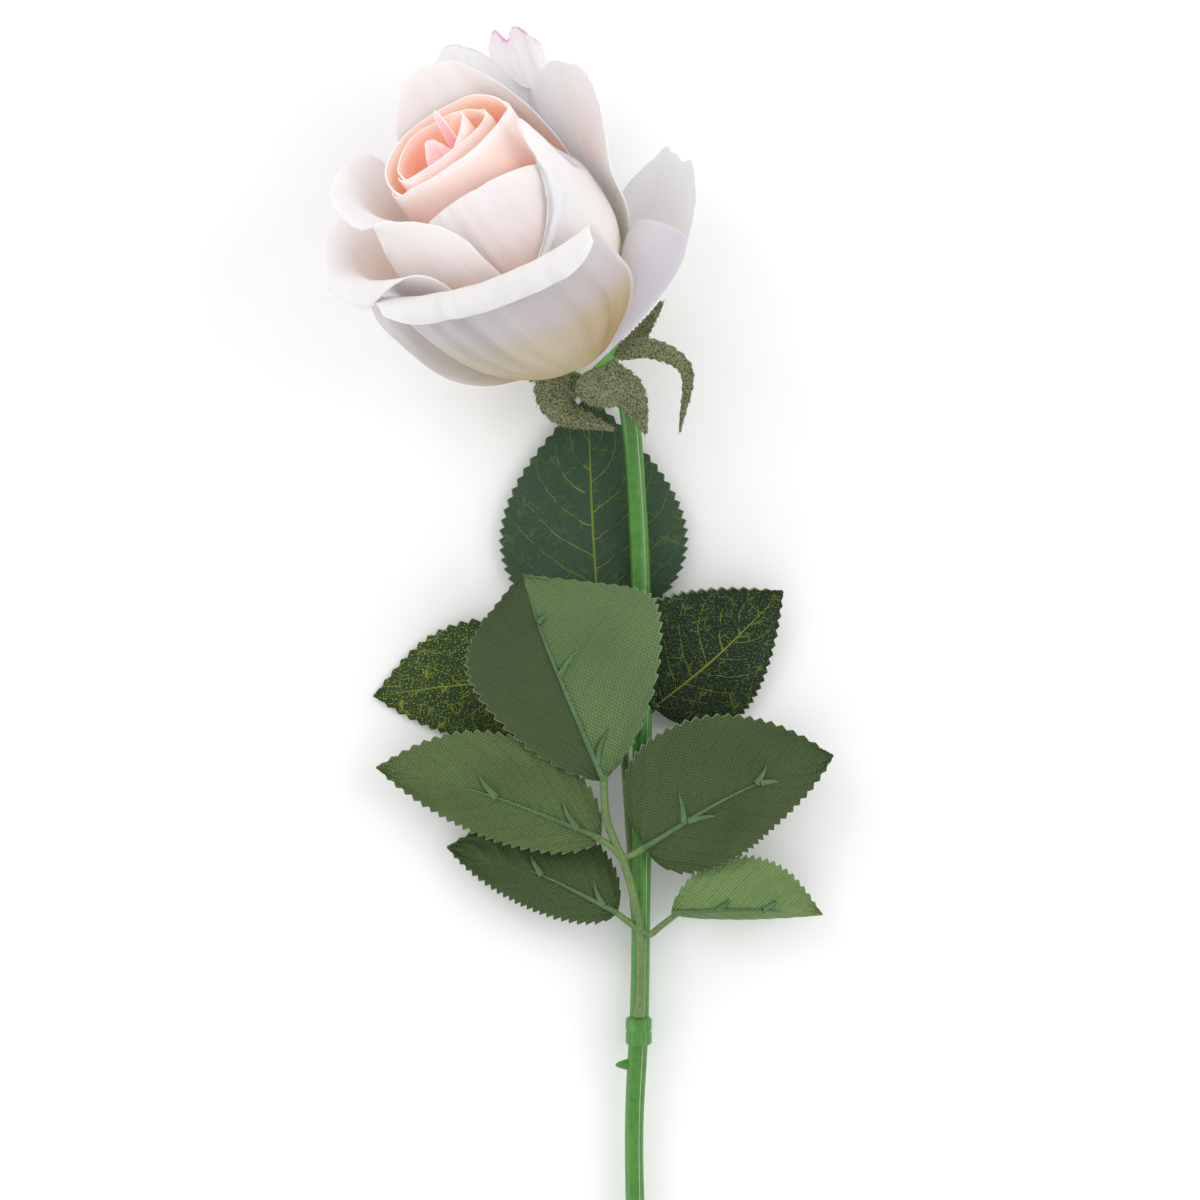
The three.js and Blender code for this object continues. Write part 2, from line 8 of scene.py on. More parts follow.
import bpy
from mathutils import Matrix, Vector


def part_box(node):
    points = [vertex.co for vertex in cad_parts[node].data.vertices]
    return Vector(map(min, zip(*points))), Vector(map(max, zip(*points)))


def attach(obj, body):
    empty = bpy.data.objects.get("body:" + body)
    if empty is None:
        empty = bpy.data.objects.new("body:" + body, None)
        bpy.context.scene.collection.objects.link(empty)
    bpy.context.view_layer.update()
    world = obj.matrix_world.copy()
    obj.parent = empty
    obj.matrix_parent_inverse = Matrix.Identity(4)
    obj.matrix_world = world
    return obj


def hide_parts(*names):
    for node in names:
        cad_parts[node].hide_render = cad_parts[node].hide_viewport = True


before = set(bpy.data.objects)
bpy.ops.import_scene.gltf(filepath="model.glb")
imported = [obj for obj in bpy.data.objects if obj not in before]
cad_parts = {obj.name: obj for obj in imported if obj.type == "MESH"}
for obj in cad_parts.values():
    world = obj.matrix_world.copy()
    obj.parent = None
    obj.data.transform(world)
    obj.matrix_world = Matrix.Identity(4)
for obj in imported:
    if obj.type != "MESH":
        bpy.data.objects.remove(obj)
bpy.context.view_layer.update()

import math

import bpy
import numpy as np
from mathutils import Matrix, Vector
from mathutils.bvhtree import BVHTree

MM = 0.001

# %% [markdown]
# The part centres its drawing on its own box. The calyx is turned on a lathe
# round a known axis, so its lowest corner in the drawing can be worked out
# here, and its corner in the frame says how far the drawing was moved.

# %% Where the drawing lies in the frame
HEAD_TILT, HEAD_HEADING = math.radians(62), math.radians(36.87)
AXIS = np.array([-math.sin(HEAD_HEADING) * math.sin(HEAD_TILT),
                 math.cos(HEAD_HEADING) * math.sin(HEAD_TILT), math.cos(HEAD_TILT)])
ACROSS = np.array([math.cos(HEAD_HEADING), math.sin(HEAD_HEADING), 0.0])
SKYWARD = np.cross(ACROSS, AXIS)
CALYX_BASE = np.array([-2.5, 62.0, 23.4])
CALYX_PROFILE = [(0, -14), (2.6, -14), (3.1, -9.5), (4.6, -6), (6.6, -3), (7.7, -1.2),
                 (7.2, -0.5), (5.6, 3), (3.6, 7.5), (1.5, 11.8), (0, 12.4)]


def from_head(local):
    """Turns points of the flower's own frame (sky, right, up its axis) into the drawing."""
    local = np.asarray(local, float)
    return CALYX_BASE + local @ np.array([SKYWARD, ACROSS, AXIS])


turned_ring = [(r * math.sin(k * math.pi / 8), -r * math.cos(k * math.pi / 8), h)
               for r, h in CALYX_PROFILE for k in range(16)]
SHIFT = np.array(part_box("calyx")[0]) / MM - from_head(turned_ring).min(axis=0)
print("drawing moved by (mm)", SHIFT.round(3))

# %% [markdown]
# The camera comes first, since everything is judged through it. It hangs over
# the rose and looks straight down, with a long lens, so there is little
# perspective. It sees 300 mm across at the height of the petals, and the stem
# runs out of the picture.

# %% Camera
CAMERA_HEIGHT, VIEW_HEIGHT, VIEW_WIDTH, SENSOR = 1115.0, 15.0, 300.0, 36.0
camera_data = bpy.data.cameras.new("camera")
camera_data.sensor_width = SENSOR
camera_data.lens = SENSOR * (CAMERA_HEIGHT - VIEW_HEIGHT) / VIEW_WIDTH
camera_data.clip_start, camera_data.clip_end = 0.05, 10
camera = bpy.data.objects.new("camera", camera_data)
camera.location = (np.array([0, 0, CAMERA_HEIGHT]) + SHIFT) * MM
bpy.context.scene.collection.objects.link(camera)
bpy.context.scene.camera = camera
print("lens", round(camera_data.lens, 1), "mm")

# %% [markdown]
# Three broad lights over a plain pale floor make a soft studio. White cloth
# shows its form only by gentle shading, so the key light comes in at a slant
# from the upper left, a low one rakes the petals from the lower left, a fill
# evens out the right, and the world lifts the shadows. The Standard view keeps
# white paper white, where the filmic one would grey it.

# %% Light
bpy.context.scene.view_settings.view_transform = "Standard"


def add_light(name, place, watts, size):
    """A square area light at a place in metres, turned towards the flower."""
    lamp = bpy.data.lights.new(name, "AREA")
    lamp.energy, lamp.size = watts, size
    light = bpy.data.objects.new(name, lamp)
    light.location = place
    light.rotation_euler = (Vector((0, 0.08, 0.03)) - light.location).to_track_quat("-Z", "Y").to_euler()
    bpy.context.scene.collection.objects.link(light)


add_light("key_light", (-0.75, 0.75, 0.85), 2.6, 0.6)
add_light("fill_light", (0.85, 0.25, 0.8), 3.0, 0.8)
add_light("low_light", (-0.95, -0.45, 0.1), 2.2, 0.5)
world = bpy.data.worlds.new("studio")
world.use_nodes = True
world.node_tree.nodes["Background"].inputs["Color"].default_value = (1.0, 1.0, 1.0, 1)
world.node_tree.nodes["Background"].inputs["Strength"].default_value = 0.93
bpy.context.scene.world = world

# %% [markdown]
# Materials here are built from nodes in code. A short helper adds a node and
# wires its inputs, so that a pattern reads like a sum. A value that is a
# socket is linked, and any other value is set on the input.

# %% Node helpers


def node(tree, kind, settings=None, **inputs):
    """Adds a node; names of inputs use _ for a space, and in0, in1 are by number."""
    made = tree.nodes.new(kind)
    for key, value in (settings or {}).items():
        setattr(made, key, value)
    for key, value in inputs.items():
        socket = made.inputs[int(key[2:])] if key[:2] == "in" and key[2:].isdigit() \
            else made.inputs[key.replace("_", " ")]
        if isinstance(value, bpy.types.NodeSocket):
            tree.links.new(value, socket)
        else:
            socket.default_value = value
    return made


def calc(tree, operation, a, b=0.0, c=0.0, clamp=False):
    settings = {"operation": operation, "use_clamp": clamp}
    return node(tree, "ShaderNodeMath", settings, in0=a, in1=b, in2=c).outputs[0]


def between(tree, value, low, high, to_low=0.0, to_high=1.0):
    """A soft step: value from low to high gives to_low to to_high."""
    return node(tree, "ShaderNodeMapRange", {"interpolation_type": "SMOOTHSTEP"}, Value=value,
                From_Min=low, From_Max=high, To_Min=to_low, To_Max=to_high).outputs["Result"]


def blend_colour(tree, share, a, b, how="MIX"):
    settings = {"data_type": "RGBA", "blend_type": how, "clamp_factor": True}
    made = node(tree, "ShaderNodeMix", settings)
    for index, value in ((0, share), (6, a), (7, b)):
        if isinstance(value, bpy.types.NodeSocket):
            tree.links.new(value, made.inputs[index])
        else:
            made.inputs[index].default_value = value
    return made.outputs[2]


def colour(code, alpha=1.0):
    """A hex colour as seen on a screen, made linear for the shader."""
    parts = [int(code[k:k + 2], 16) / 255 for k in (1, 3, 5)]
    return [p / 12.92 if p <= 0.04045 else ((p + 0.055) / 1.055) ** 2.4 for p in parts] + [alpha]


def effect(name, inputs, outputs):
    """An empty shader node group with named float, vector or colour sockets."""
    group = bpy.data.node_groups.new(name, "ShaderNodeTree")
    for way, sockets in (("INPUT", inputs), ("OUTPUT", outputs)):
        for title, kind, start in sockets:
            socket = group.interface.new_socket(name=title, in_out=way, socket_type="NodeSocket" + kind)
            if start is not None and way == "INPUT":
                socket.default_value = start
    return group, group.nodes.new("NodeGroupInput").outputs, group.nodes.new("NodeGroupOutput").inputs


def use(tree, group, **inputs):
    """Places an effect in a material with its own values."""
    return node(tree, "ShaderNodeGroup", {"node_tree": group}, **inputs).outputs


print("helpers ready")

# %% [markdown]
# Cloth is over and under threads. Two sine waves multiplied give a plain weave
# in a few nodes, and they read a map that is measured in metres on the cloth,
# so the threads follow the curl of a petal and are the same size on all.

# %% Effect: woven cloth
weave, given, out = effect("WovenCloth", [("Cloth", "Vector", None), ("Thread mm", "Float", 0.5)],
                           [("Height", "Float", None), ("Tone", "Float", None)])
split = node(weave, "ShaderNodeSeparateXYZ", Vector=given["Cloth"]).outputs
per_metre = calc(weave, "DIVIDE", 1000 * math.tau, given["Thread mm"])
wavy = node(weave, "ShaderNodeTexNoise", Vector=given["Cloth"], Scale=900.0, Detail=1.0).outputs["Fac"]
slip = calc(weave, "MULTIPLY", wavy, 1.6)
weft = calc(weave, "SINE", calc(weave, "ADD", calc(weave, "MULTIPLY", split[0], per_metre), slip))
warp = calc(weave, "SINE", calc(weave, "ADD", calc(weave, "MULTIPLY", split[1], per_metre), slip))
over = calc(weave, "MULTIPLY_ADD", calc(weave, "MULTIPLY", weft, warp), 0.5, 0.5)
weave.links.new(over, out["Height"])
weave.links.new(calc(weave, "MULTIPLY_ADD", over, 0.7, calc(weave, "MULTIPLY", wavy, 0.3)), out["Tone"])
print("effect", weave.name)

# %% [markdown]
# Pressed cloth keeps fine creases that run from the foot of a petal to its
# rim. A noise that is stretched along the petal gives them, and a second,
# broader one gives the soft waviness between them.

# %% Effect: crinkle
crinkle, given, out = effect("Crinkle", [("Map", "Vector", None), ("Across", "Float", 20.0),
                                         ("Along", "Float", 2.0)],
                             [("Height", "Float", None), ("Shade", "Float", None)])
stretch = node(crinkle, "ShaderNodeCombineXYZ", X=given["Across"], Y=given["Along"], Z=1.0).outputs[0]
pulled = node(crinkle, "ShaderNodeVectorMath", {"operation": "MULTIPLY"}, in0=given["Map"],
              in1=stretch).outputs[0]
fine = node(crinkle, "ShaderNodeTexNoise", Vector=pulled, Scale=1.0, Detail=4.0, Roughness=0.6,
            Distortion=0.4).outputs["Fac"]
broad = node(crinkle, "ShaderNodeTexNoise", Vector=pulled, Scale=0.22, Detail=2.0).outputs["Fac"]
crinkle.links.new(calc(crinkle, "MULTIPLY_ADD", broad, 0.6, calc(crinkle, "MULTIPLY", fine, 0.4)),
                  out["Height"])
crinkle.links.new(between(crinkle, broad, 0.35, 0.7), out["Shade"])
print("effect", crinkle.name)

# %% [markdown]
# A cut edge of cloth looks a little different from the face: petals take more
# dye there and leaflets show pale threads. The map runs from 0 to 1 across and
# along each piece, so nearness to the edge is a sum on that map.

# %% Effect: edge tint
edge_tint, given, out = effect("EdgeTint", [("Map", "Vector", None), ("Reach", "Float", 0.04)],
                               [("Side", "Float", None), ("Rim", "Float", None)])
split = node(edge_tint, "ShaderNodeSeparateXYZ", Vector=given["Map"]).outputs
to_side = calc(edge_tint, "ABSOLUTE", calc(edge_tint, "MULTIPLY_ADD", split[0], 2.0, -1.0))
inner_limit = calc(edge_tint, "SUBTRACT", 1.0, given["Reach"])
edge_tint.links.new(between(edge_tint, to_side, inner_limit, 1.0), out["Side"])
edge_tint.links.new(between(edge_tint, split[1], inner_limit, 1.0), out["Rim"])
print("effect", edge_tint.name)

# %% [markdown]
# Leaf veins: a midrib, side veins that slope towards the tip, and a fine net
# between them. Side veins are even stripes on "how far along, less a share of
# how far out". The net is the border of Voronoi cells, kept only where a noise
# is high, so that it looks broken, as printed veins do.

# %% Effect: leaf veins
leaf_veins, given, out = effect(
    "LeafVeins", [("Map", "Vector", None), ("Cloth", "Vector", None), ("Pairs", "Float", 7.0),
                  ("Slope", "Float", 0.3), ("Width", "Float", 0.05), ("Net mm", "Float", 4.0)],
    [("Veins", "Float", None), ("Net", "Float", None), ("Specks", "Float", None)])
split = node(leaf_veins, "ShaderNodeSeparateXYZ", Vector=given["Map"]).outputs
wander = node(leaf_veins, "ShaderNodeTexNoise", Vector=given["Cloth"], Scale=160.0,
              Detail=2.0).outputs["Fac"]
signed = calc(leaf_veins, "MULTIPLY_ADD", split[0], 2.0, -1.0)
outwards = calc(leaf_veins, "ABSOLUTE", signed)
lean = calc(leaf_veins, "MULTIPLY", calc(leaf_veins, "POWER", outwards, 1.25), given["Slope"])
stripe = calc(leaf_veins, "MULTIPLY", calc(leaf_veins, "SUBTRACT", split[1], lean), given["Pairs"])
stripe = calc(leaf_veins, "ADD", stripe, calc(leaf_veins, "MULTIPLY", wander, 0.45))
stripe = calc(leaf_veins, "ADD", stripe, calc(leaf_veins, "MULTIPLY", calc(leaf_veins, "SIGN", signed),
                                              0.22))
from_vein = calc(leaf_veins, "ABSOLUTE", calc(leaf_veins, "SUBTRACT", calc(leaf_veins, "FRACT", stripe),
                                              0.5))
thin = calc(leaf_veins, "MULTIPLY", given["Width"], calc(leaf_veins, "SUBTRACT", 1.25, outwards))
side_veins = between(leaf_veins, from_vein, thin, calc(leaf_veins, "MULTIPLY", thin, 2.2), 1.0, 0.0)
midrib = between(leaf_veins, outwards, 0.006, 0.018, 1.0, 0.0)
cells = node(leaf_veins, "ShaderNodeTexVoronoi", {"feature": "DISTANCE_TO_EDGE"}, Vector=given["Cloth"],
             Scale=calc(leaf_veins, "DIVIDE", 1000.0, given["Net mm"])).outputs["Distance"]
patch = node(leaf_veins, "ShaderNodeTexNoise", Vector=given["Cloth"], Scale=260.0,
             Detail=3.0).outputs["Fac"]
broken = between(leaf_veins, patch, 0.49, 0.60)
net = calc(leaf_veins, "MULTIPLY", between(leaf_veins, cells, 0.02, 0.06, 1.0, 0.0), broken)
grit = node(leaf_veins, "ShaderNodeTexNoise", Vector=given["Cloth"], Scale=2300.0,
            Detail=1.0).outputs["Fac"]
leaf_veins.links.new(calc(leaf_veins, "MAXIMUM", midrib, calc(leaf_veins, "MULTIPLY", side_veins,
                     between(leaf_veins, patch, 0.38, 0.5))), out["Veins"])
leaf_veins.links.new(net, out["Net"])
leaf_veins.links.new(between(leaf_veins, grit, 0.59, 0.65), out["Specks"])
print("effect", leaf_veins.name)

# %% [markdown]
# Moulded plastic and flocking share one grain: a fine noise for tone and a
# height, read from Object coordinates, since nothing there follows a weave.

# %% Effect: grain
grain, given, out = effect("Grain", [("Place", "Vector", None), ("Size mm", "Float", 0.5),
                                     ("Patches", "Float", 0.35)],
                           [("Height", "Float", None), ("Tone", "Float", None)])
scale = calc(grain, "DIVIDE", 1000.0, given["Size mm"])
small = node(grain, "ShaderNodeTexNoise", Vector=given["Place"], Scale=scale, Detail=3.0,
             Roughness=0.7).outputs["Fac"]
large = node(grain, "ShaderNodeTexNoise", Vector=given["Place"], Scale=calc(grain, "DIVIDE", scale, 9.0),
             Detail=2.0).outputs["Fac"]
grain.links.new(small, out["Height"])
tone = calc(grain, "ADD", small, calc(grain, "MULTIPLY", given["Patches"],
                                      calc(grain, "SUBTRACT", large, small)))
grain.links.new(tone, out["Tone"])
print("effect", grain.name)

# %% [markdown]
# Every material ends in one Principled shader. Petal cloth is matt, with a
# soft sheen and a little light through it. Colour runs up the petal from its
# dyed foot to its rim, by the map, and is warmed or cooled in patches; on the
# front guard petal the foot is darker still as painted shade. Some cloths have
# a small emission too, which stands for light that comes through thin cloth,
# and on the lowest guard petal for light thrown up by the floor. It is a
# shortcut, painted light: it brightens a petal under any light. The two lining
# cloths go on inner faces only.

# %% Petal cloth


def new_material(name, roughness, **plain):
    made = bpy.data.materials.new(name)
    made.use_nodes = True
    tree = made.node_tree
    shader = tree.nodes["Principled BSDF"]
    shader.inputs["Roughness"].default_value = roughness
    for key, value in plain.items():
        shader.inputs[key.replace("_", " ")].default_value = value
    return made, tree, shader


def ramp(tree, share, stops):
    made = node(tree, "ShaderNodeValToRGB", Fac=share)
    made.color_ramp.interpolation = "EASE"
    elements = made.color_ramp.elements
    while len(elements) < len(stops):
        elements.new(0.5)
    for element, (place, code) in zip(elements, stops):
        element.position, element.color = place, colour(code)
    return made.outputs["Color"]


def maps_of(tree):
    """The piece's own two maps: 0 to 1 over the piece, and metres on the cloth."""
    return (node(tree, "ShaderNodeUVMap", {"uv_map": "UVMap"}).outputs["UV"],
            node(tree, "ShaderNodeUVMap", {"uv_map": "Cloth"}).outputs["UV"])


def raise_surface(tree, shader, height, strength, distance_mm):
    bump = node(tree, "ShaderNodeBump", Strength=strength, Distance=distance_mm * MM, Height=height)
    tree.links.new(bump.outputs["Normal"], shader.inputs["Normal"])


def petal_cloth(name, stops, cool="#e6e1ea", cool_share=0.35, edge="#fbf7f5", edge_share=0.5, crease=0.9,
                margin_shade=None, glow=0.0, tone="#f4f3f4", relief_mm=0.5):
    """The colour given for the lower right margin is painted shade there; glow is an emission that paints
    in light through thin cloth, and on the lowest guard petal light thrown up by the floor.
    """
    made, tree, shader = new_material(name, 0.78, Sheen_Weight=0.18, Sheen_Roughness=0.5,
                                      Subsurface_Weight=0.45, Subsurface_Scale=0.0025)
    shader.inputs["Subsurface Radius"].default_value = (1.0, 0.75, 0.65)
    shader.inputs["Specular IOR Level"].default_value = 0.25
    petal_map, cloth_map = maps_of(tree)
    up = node(tree, "ShaderNodeSeparateXYZ", Vector=petal_map).outputs[1]
    creases = use(tree, crinkle, Map=petal_map, Across=26.0, Along=3.0)
    threads = use(tree, weave, Cloth=cloth_map, Thread_mm=0.42)
    rims = use(tree, edge_tint, Map=petal_map, Reach=0.05)
    shade = calc(tree, "MULTIPLY_ADD", creases["Height"], 0.12, calc(tree, "SUBTRACT", up, 0.06))
    base = ramp(tree, shade, stops)
    base = blend_colour(tree, calc(tree, "MULTIPLY", creases["Shade"], cool_share), base, colour(cool),
                        "MULTIPLY")
    # Painted shade: a tan colour blended in along the lower right margin, fading out above the middle of
    # the petal.
    if margin_shade:
        across = node(tree, "ShaderNodeSeparateXYZ", Vector=petal_map).outputs[0]
        margin_shade_share = between(tree, calc(tree, "MULTIPLY_ADD", creases["Height"], 0.12, across), 0.62, 0.98)
        margin_shade_share = calc(tree, "MULTIPLY", margin_shade_share, between(tree, up, 0.25, 0.74, 1.0, 0.0))
        base = blend_colour(tree, margin_shade_share, base, colour(margin_shade))
    rim = calc(tree, "MULTIPLY", calc(tree, "MAXIMUM", rims["Side"], rims["Rim"]), edge_share)
    base = blend_colour(tree, rim, base, colour(edge))
    base = blend_colour(tree, 1.0, base, colour(tone), "MULTIPLY")
    tree.links.new(base, shader.inputs["Base Color"])
    # Painted light: the cloth also emits its own colour, at the glow's strength.
    tree.links.new(base, shader.inputs["Emission Color"])
    shader.inputs["Emission Strength"].default_value = glow
    height = calc(tree, "MULTIPLY_ADD", creases["Height"], 1.0,
                  calc(tree, "MULTIPLY", threads["Height"], 0.10))
    raise_surface(tree, shader, height, crease, relief_mm)
    return made


WHITE = petal_cloth("petal_white", [(0, "#d2c690"), (0.16, "#e2dabc"), (0.34, "#ece8e0"),
                                    (0.6, "#efecec"), (1, "#f1eeef")])
# Painted light: a lighter copy of the white cloth, for the back and right petals that fall in shade.
WHITE_PAINTED_LIGHT = petal_cloth("petal_white_painted_light", [(0, "#d8cd98"), (0.16, "#ece5c9"), (0.34, "#f4f1ea"),
                                            (0.6, "#f6f4f4"),
                                            (1, "#f8f7f8")], cool="#ecebee", cool_share=0.3,
                     tone="#f3f3f4")
# Painted light: a lighter copy of the white cloth with a glow, for the light that the floor throws up
# onto the lowest guard petal.
WHITE_PAINTED_FLOOR_LIGHT = petal_cloth("petal_white_painted_floor_light", [(0, "#d8cd98"), (0.3, "#eee6d2"), (0.6, "#f4f1f0"),
                                                (1, "#f6f5f6")],
                     cool="#ecebee", cool_share=0.3, glow=0.1)
# Painted shade: a greyed copy of the white cloth with a darker tan foot, for the front guard petal.
SHADED = petal_cloth("petal_white_painted_shade", [(0, "#b9a868"), (0.2, "#c9b68a"), (0.4, "#d5c7ad"),
                                               (0.6, "#d9d2d4"),
                                               (0.86, "#e9e5e7"), (1, "#e9e5e7")], cool_share=0.24,
                     crease=1.0, margin_shade="#aa9058", relief_mm=1.5)
LILAC = petal_cloth("petal_lilac", [(0, "#d9d3b4"), (0.2, "#e2dcda"), (0.5, "#e4dde4"), (1, "#e8e3e8")],
                    cool_share=0.5, edge_share=0.25, crease=1.0, relief_mm=1.2)
BLUSH = petal_cloth("petal_blush", [(0, "#f2bb8c"), (0.35, "#f7cdb0"), (0.6, "#fadfd0"), (0.8, "#faf0ec"),
                                    (1, "#fbf7f6")],
                    cool="#f4ecf4", cool_share=0.3, glow=0.07)
PALE = petal_cloth("petal_pale", [(0, "#e6dba4"), (0.3, "#f2ebc6"), (0.5, "#f8f2ea"), (0.75, "#faf6f5"),
                                  (1, "#fbf8f8")],
                   cool="#f1eef4", cool_share=0.25, edge="#dfe0e8", edge_share=0.6, glow=0.05)
PEACH = petal_cloth("petal_peach", [(0, "#f69c74"), (0.5, "#faa884"), (0.75, "#fbc2aa"), (0.9, "#fbdad0"),
                                    (1, "#fcebe6")],
                    cool="#fdeae4", cool_share=0.3, edge="#fdf3f0", edge_share=0.8, glow=0.06,
                    tone="#ffffff")
PINK = petal_cloth("petal_pink", [(0, "#f07a72"), (0.5, "#f68c88"), (0.75, "#f9a6ac"), (0.93, "#fdc9cf"),
                                  (1, "#fddfe4")],
                   cool="#fbe6e8", cool_share=0.3, edge="#fde3e8", glow=0.12, tone="#ffffff")
TIPPED = petal_cloth("petal_pink_tipped", [(0, "#d7cca4"), (0.4, "#f1edee"), (0.94, "#f6f4f6"),
                                           (0.988, "#f3e6ee"), (1, "#d78fb6")], edge_share=0.1)
LINING = petal_cloth("petal_lining_orange", [(0, "#f4884c"), (0.6, "#f9986a"), (0.82, "#fbac86"),
                                             (0.93, "#fcc9b0"),
                                              (1, "#fee0cf")], cool="#fde2d6", cool_share=0.2,
                     edge="#fef0e8", glow=0.14, tone="#ffffff")
WARM = petal_cloth("petal_warm_lining", [(0, "#edc49c"), (0.4, "#f5dccb"), (0.7, "#f6e8e0"),
                                         (0.9, "#f5f0ee"), (1, "#f4f1f1")],
                   cool="#f3ecee", cool_share=0.3, glow=0.04)
print("petal cloths", [m.name for m in bpy.data.materials if m.name.startswith("petal")])

# %% [markdown]
# The leaflets are one stiff woven cloth. The upper face is dyed dark green with
# yellow-green printed veins, and the underside shows the bare olive weave.

# %% Leaf cloth


def leaf_cloth(name, face, dark, thread_mm, printed=0.0, specks=0.0, halves=None):
    """halves is a darker colour for the left half, where it is folded away from the light."""
    made, tree, shader = new_material(name, 0.7, Sheen_Weight=0.02)
    shader.inputs["Specular IOR Level"].default_value = 0.14
    leaf_map, cloth_map = maps_of(tree)
    threads = use(tree, weave, Cloth=cloth_map, Thread_mm=thread_mm)
    veins = use(tree, leaf_veins, Map=leaf_map, Cloth=cloth_map, Pairs=8.0, Slope=0.34, Width=0.013,
                Net_mm=2.6)
    soft = use(tree, crinkle, Map=leaf_map, Across=7.0, Along=8.0)
    base = blend_colour(tree, threads["Tone"], colour(dark), colour(face))
    base = blend_colour(tree, calc(tree, "MULTIPLY", soft["Shade"], 0.4), base, colour(dark))
    # Painted shade: the left half is darkened towards the halves colour.
    if halves:
        left = between(tree, node(tree, "ShaderNodeSeparateXYZ", Vector=leaf_map).outputs[0], 0.49, 0.51,
                       1.0, 0.0)
        base = blend_colour(tree, calc(tree, "MULTIPLY", left, 0.75), base, colour(halves))
    if printed:
        lines = calc(tree, "MAXIMUM", calc(tree, "MULTIPLY", veins["Veins"], 0.85),
                     calc(tree, "MULTIPLY", veins["Net"], 0.2 + 0.45 * specks))
        lines = calc(tree, "MAXIMUM", lines, calc(tree, "MULTIPLY", veins["Specks"], specks))
        base = blend_colour(tree, calc(tree, "MULTIPLY", lines, printed), base, colour("#8f9d3c"))
    rims = use(tree, edge_tint, Map=leaf_map, Reach=0.02)
    base = blend_colour(tree, calc(tree, "MULTIPLY", rims["Side"], 0.55), base, colour("#9aa789"))
    tree.links.new(base, shader.inputs["Base Color"])
    height = calc(tree, "MULTIPLY_ADD", threads["Height"], 0.6,
                  calc(tree, "MULTIPLY", veins["Veins"], 0.4))
    raise_surface(tree, shader, height, 0.8, 0.4)
    return made


UNDERSIDE = leaf_cloth("leaf_underside_cloth", "#6b8250", "#3c4b2b", 1.0)
UNDERSIDE_DARK = leaf_cloth("leaf_underside_cloth_dark", "#586c42", "#2f3d23", 1.0)
UNDERSIDE_LIGHT = leaf_cloth("leaf_underside_cloth_light", "#86a068", "#56703f", 1.0)
# The end leaflet's left half is darkened as painted shade.
UNDERSIDE_END = leaf_cloth("leaf_underside_painted_shade_left", "#768f5c", "#43583a", 1.0, halves="#39442c")
UPPER_FACE = leaf_cloth("leaf_upper_cloth", "#4a614a", "#2f4535", 0.8, printed=0.75, specks=0.12)
UPPER_SPECKLED = leaf_cloth("leaf_upper_cloth_speckled", "#263b2c", "#132018", 0.8, printed=0.8,
                            specks=0.5)
UPPER_PALE = leaf_cloth("leaf_upper_cloth_pale_specks", "#3f5432", "#233322", 0.8, printed=1.0,
                        specks=1.0)
print("leaf cloths ready")

# %% [markdown]
# The stem, stalks and calyx are glossy moulded plastic, and the sepals are
# flocked: short fibres on cloth, which scatter light and look granular.

# %% Plastic, flocking and wire


def grained(name, light, dark, size_mm, roughness, strength, distance_mm, contrast=1.0, patches=0.35,
            **plain):
    made, tree, shader = new_material(name, roughness, **plain)
    place = node(tree, "ShaderNodeTexCoord").outputs["Object"]
    specks = use(tree, grain, Place=place, Size_mm=size_mm, Patches=patches)
    share = between(tree, specks["Tone"], 0.5 - 0.25 / contrast, 0.5 + 0.25 / contrast)
    tree.links.new(blend_colour(tree, share, colour(dark), colour(light)), shader.inputs["Base Color"])
    tree.links.new(between(tree, specks["Tone"], 0.3, 0.7, roughness - 0.06, roughness + 0.08),
                   shader.inputs["Roughness"])
    raise_surface(tree, shader, specks["Height"], strength, distance_mm)
    return made


STEM_PLASTIC = grained("stem_plastic", "#4a8a2a", "#2f6a18", 1.6, 0.36, 0.12, 0.1, Coat_Weight=0.12)
STALK_PLASTIC = grained("stalk_plastic", "#6f8a4e", "#46602f", 0.9, 0.42, 0.2, 0.1)
CALYX_PLASTIC = grained("calyx_plastic", "#5c9a3e", "#377325", 1.4, 0.38, 0.15, 0.1, Coat_Weight=0.2)
RIB_PLASTIC = grained("rib_plastic", "#527545", "#365430", 0.8, 0.4, 0.2, 0.1)
SEAM_PLASTIC = grained("seam_plastic", "#9dba86", "#7f9a6c", 1.2, 0.4, 0.2, 0.05)
FLOCKED = grained("sepal_flocking", "#8f9468", "#30361f", 0.48, 0.95, 1.0, 0.5, contrast=1.9,
                  patches=0.12, Sheen_Weight=0.2)
WIRE_STEEL = grained("wire_steel", "#a4a7aa", "#7b7e81", 0.6, 0.35, 0.1, 0.05)
WIRE_STEEL.node_tree.nodes["Principled BSDF"].inputs["Metallic"].default_value = 1.0
FLOOR_PAINT = grained("floor_paint", "#fbfbfb", "#f7f7f7", 40.0, 0.9, 0.02, 0.1)
print("grained finishes ready")

# %% [markdown]
# The floor is one wide plane in pale matt paint. It lies a little below the
# table's height, so that nothing that rests there shares a surface with it. It
# only dresses the stage, so it isn't one of the rose's pieces.

# %% The floor, in its paint
FLOOR_SIZE, FLOOR_DROP = 6.0, 0.0002
bpy.ops.mesh.primitive_plane_add(size=FLOOR_SIZE, location=(0, 0, -FLOOR_DROP))
floor = bpy.context.object
floor.name = "floor"
bpy.ops.object.transform_apply(location=True, rotation=False, scale=False)
floor.data.materials.append(FLOOR_PAINT)
print("floor at z", floor.data.vertices[0].co.z)

# %% [markdown]
# A formed sheet starts as a flat grid that is added as a primitive. Its two
# coordinates, u across and v along, are read as places on the petal or leaf,
# and each point moves there. Solidify then gives the cloth its thickness. A
# formula shapes a petal better than edit tools can: its curl has to match the
# solid part that it covers, to a fraction of a millimetre.

# %% Making a formed sheet


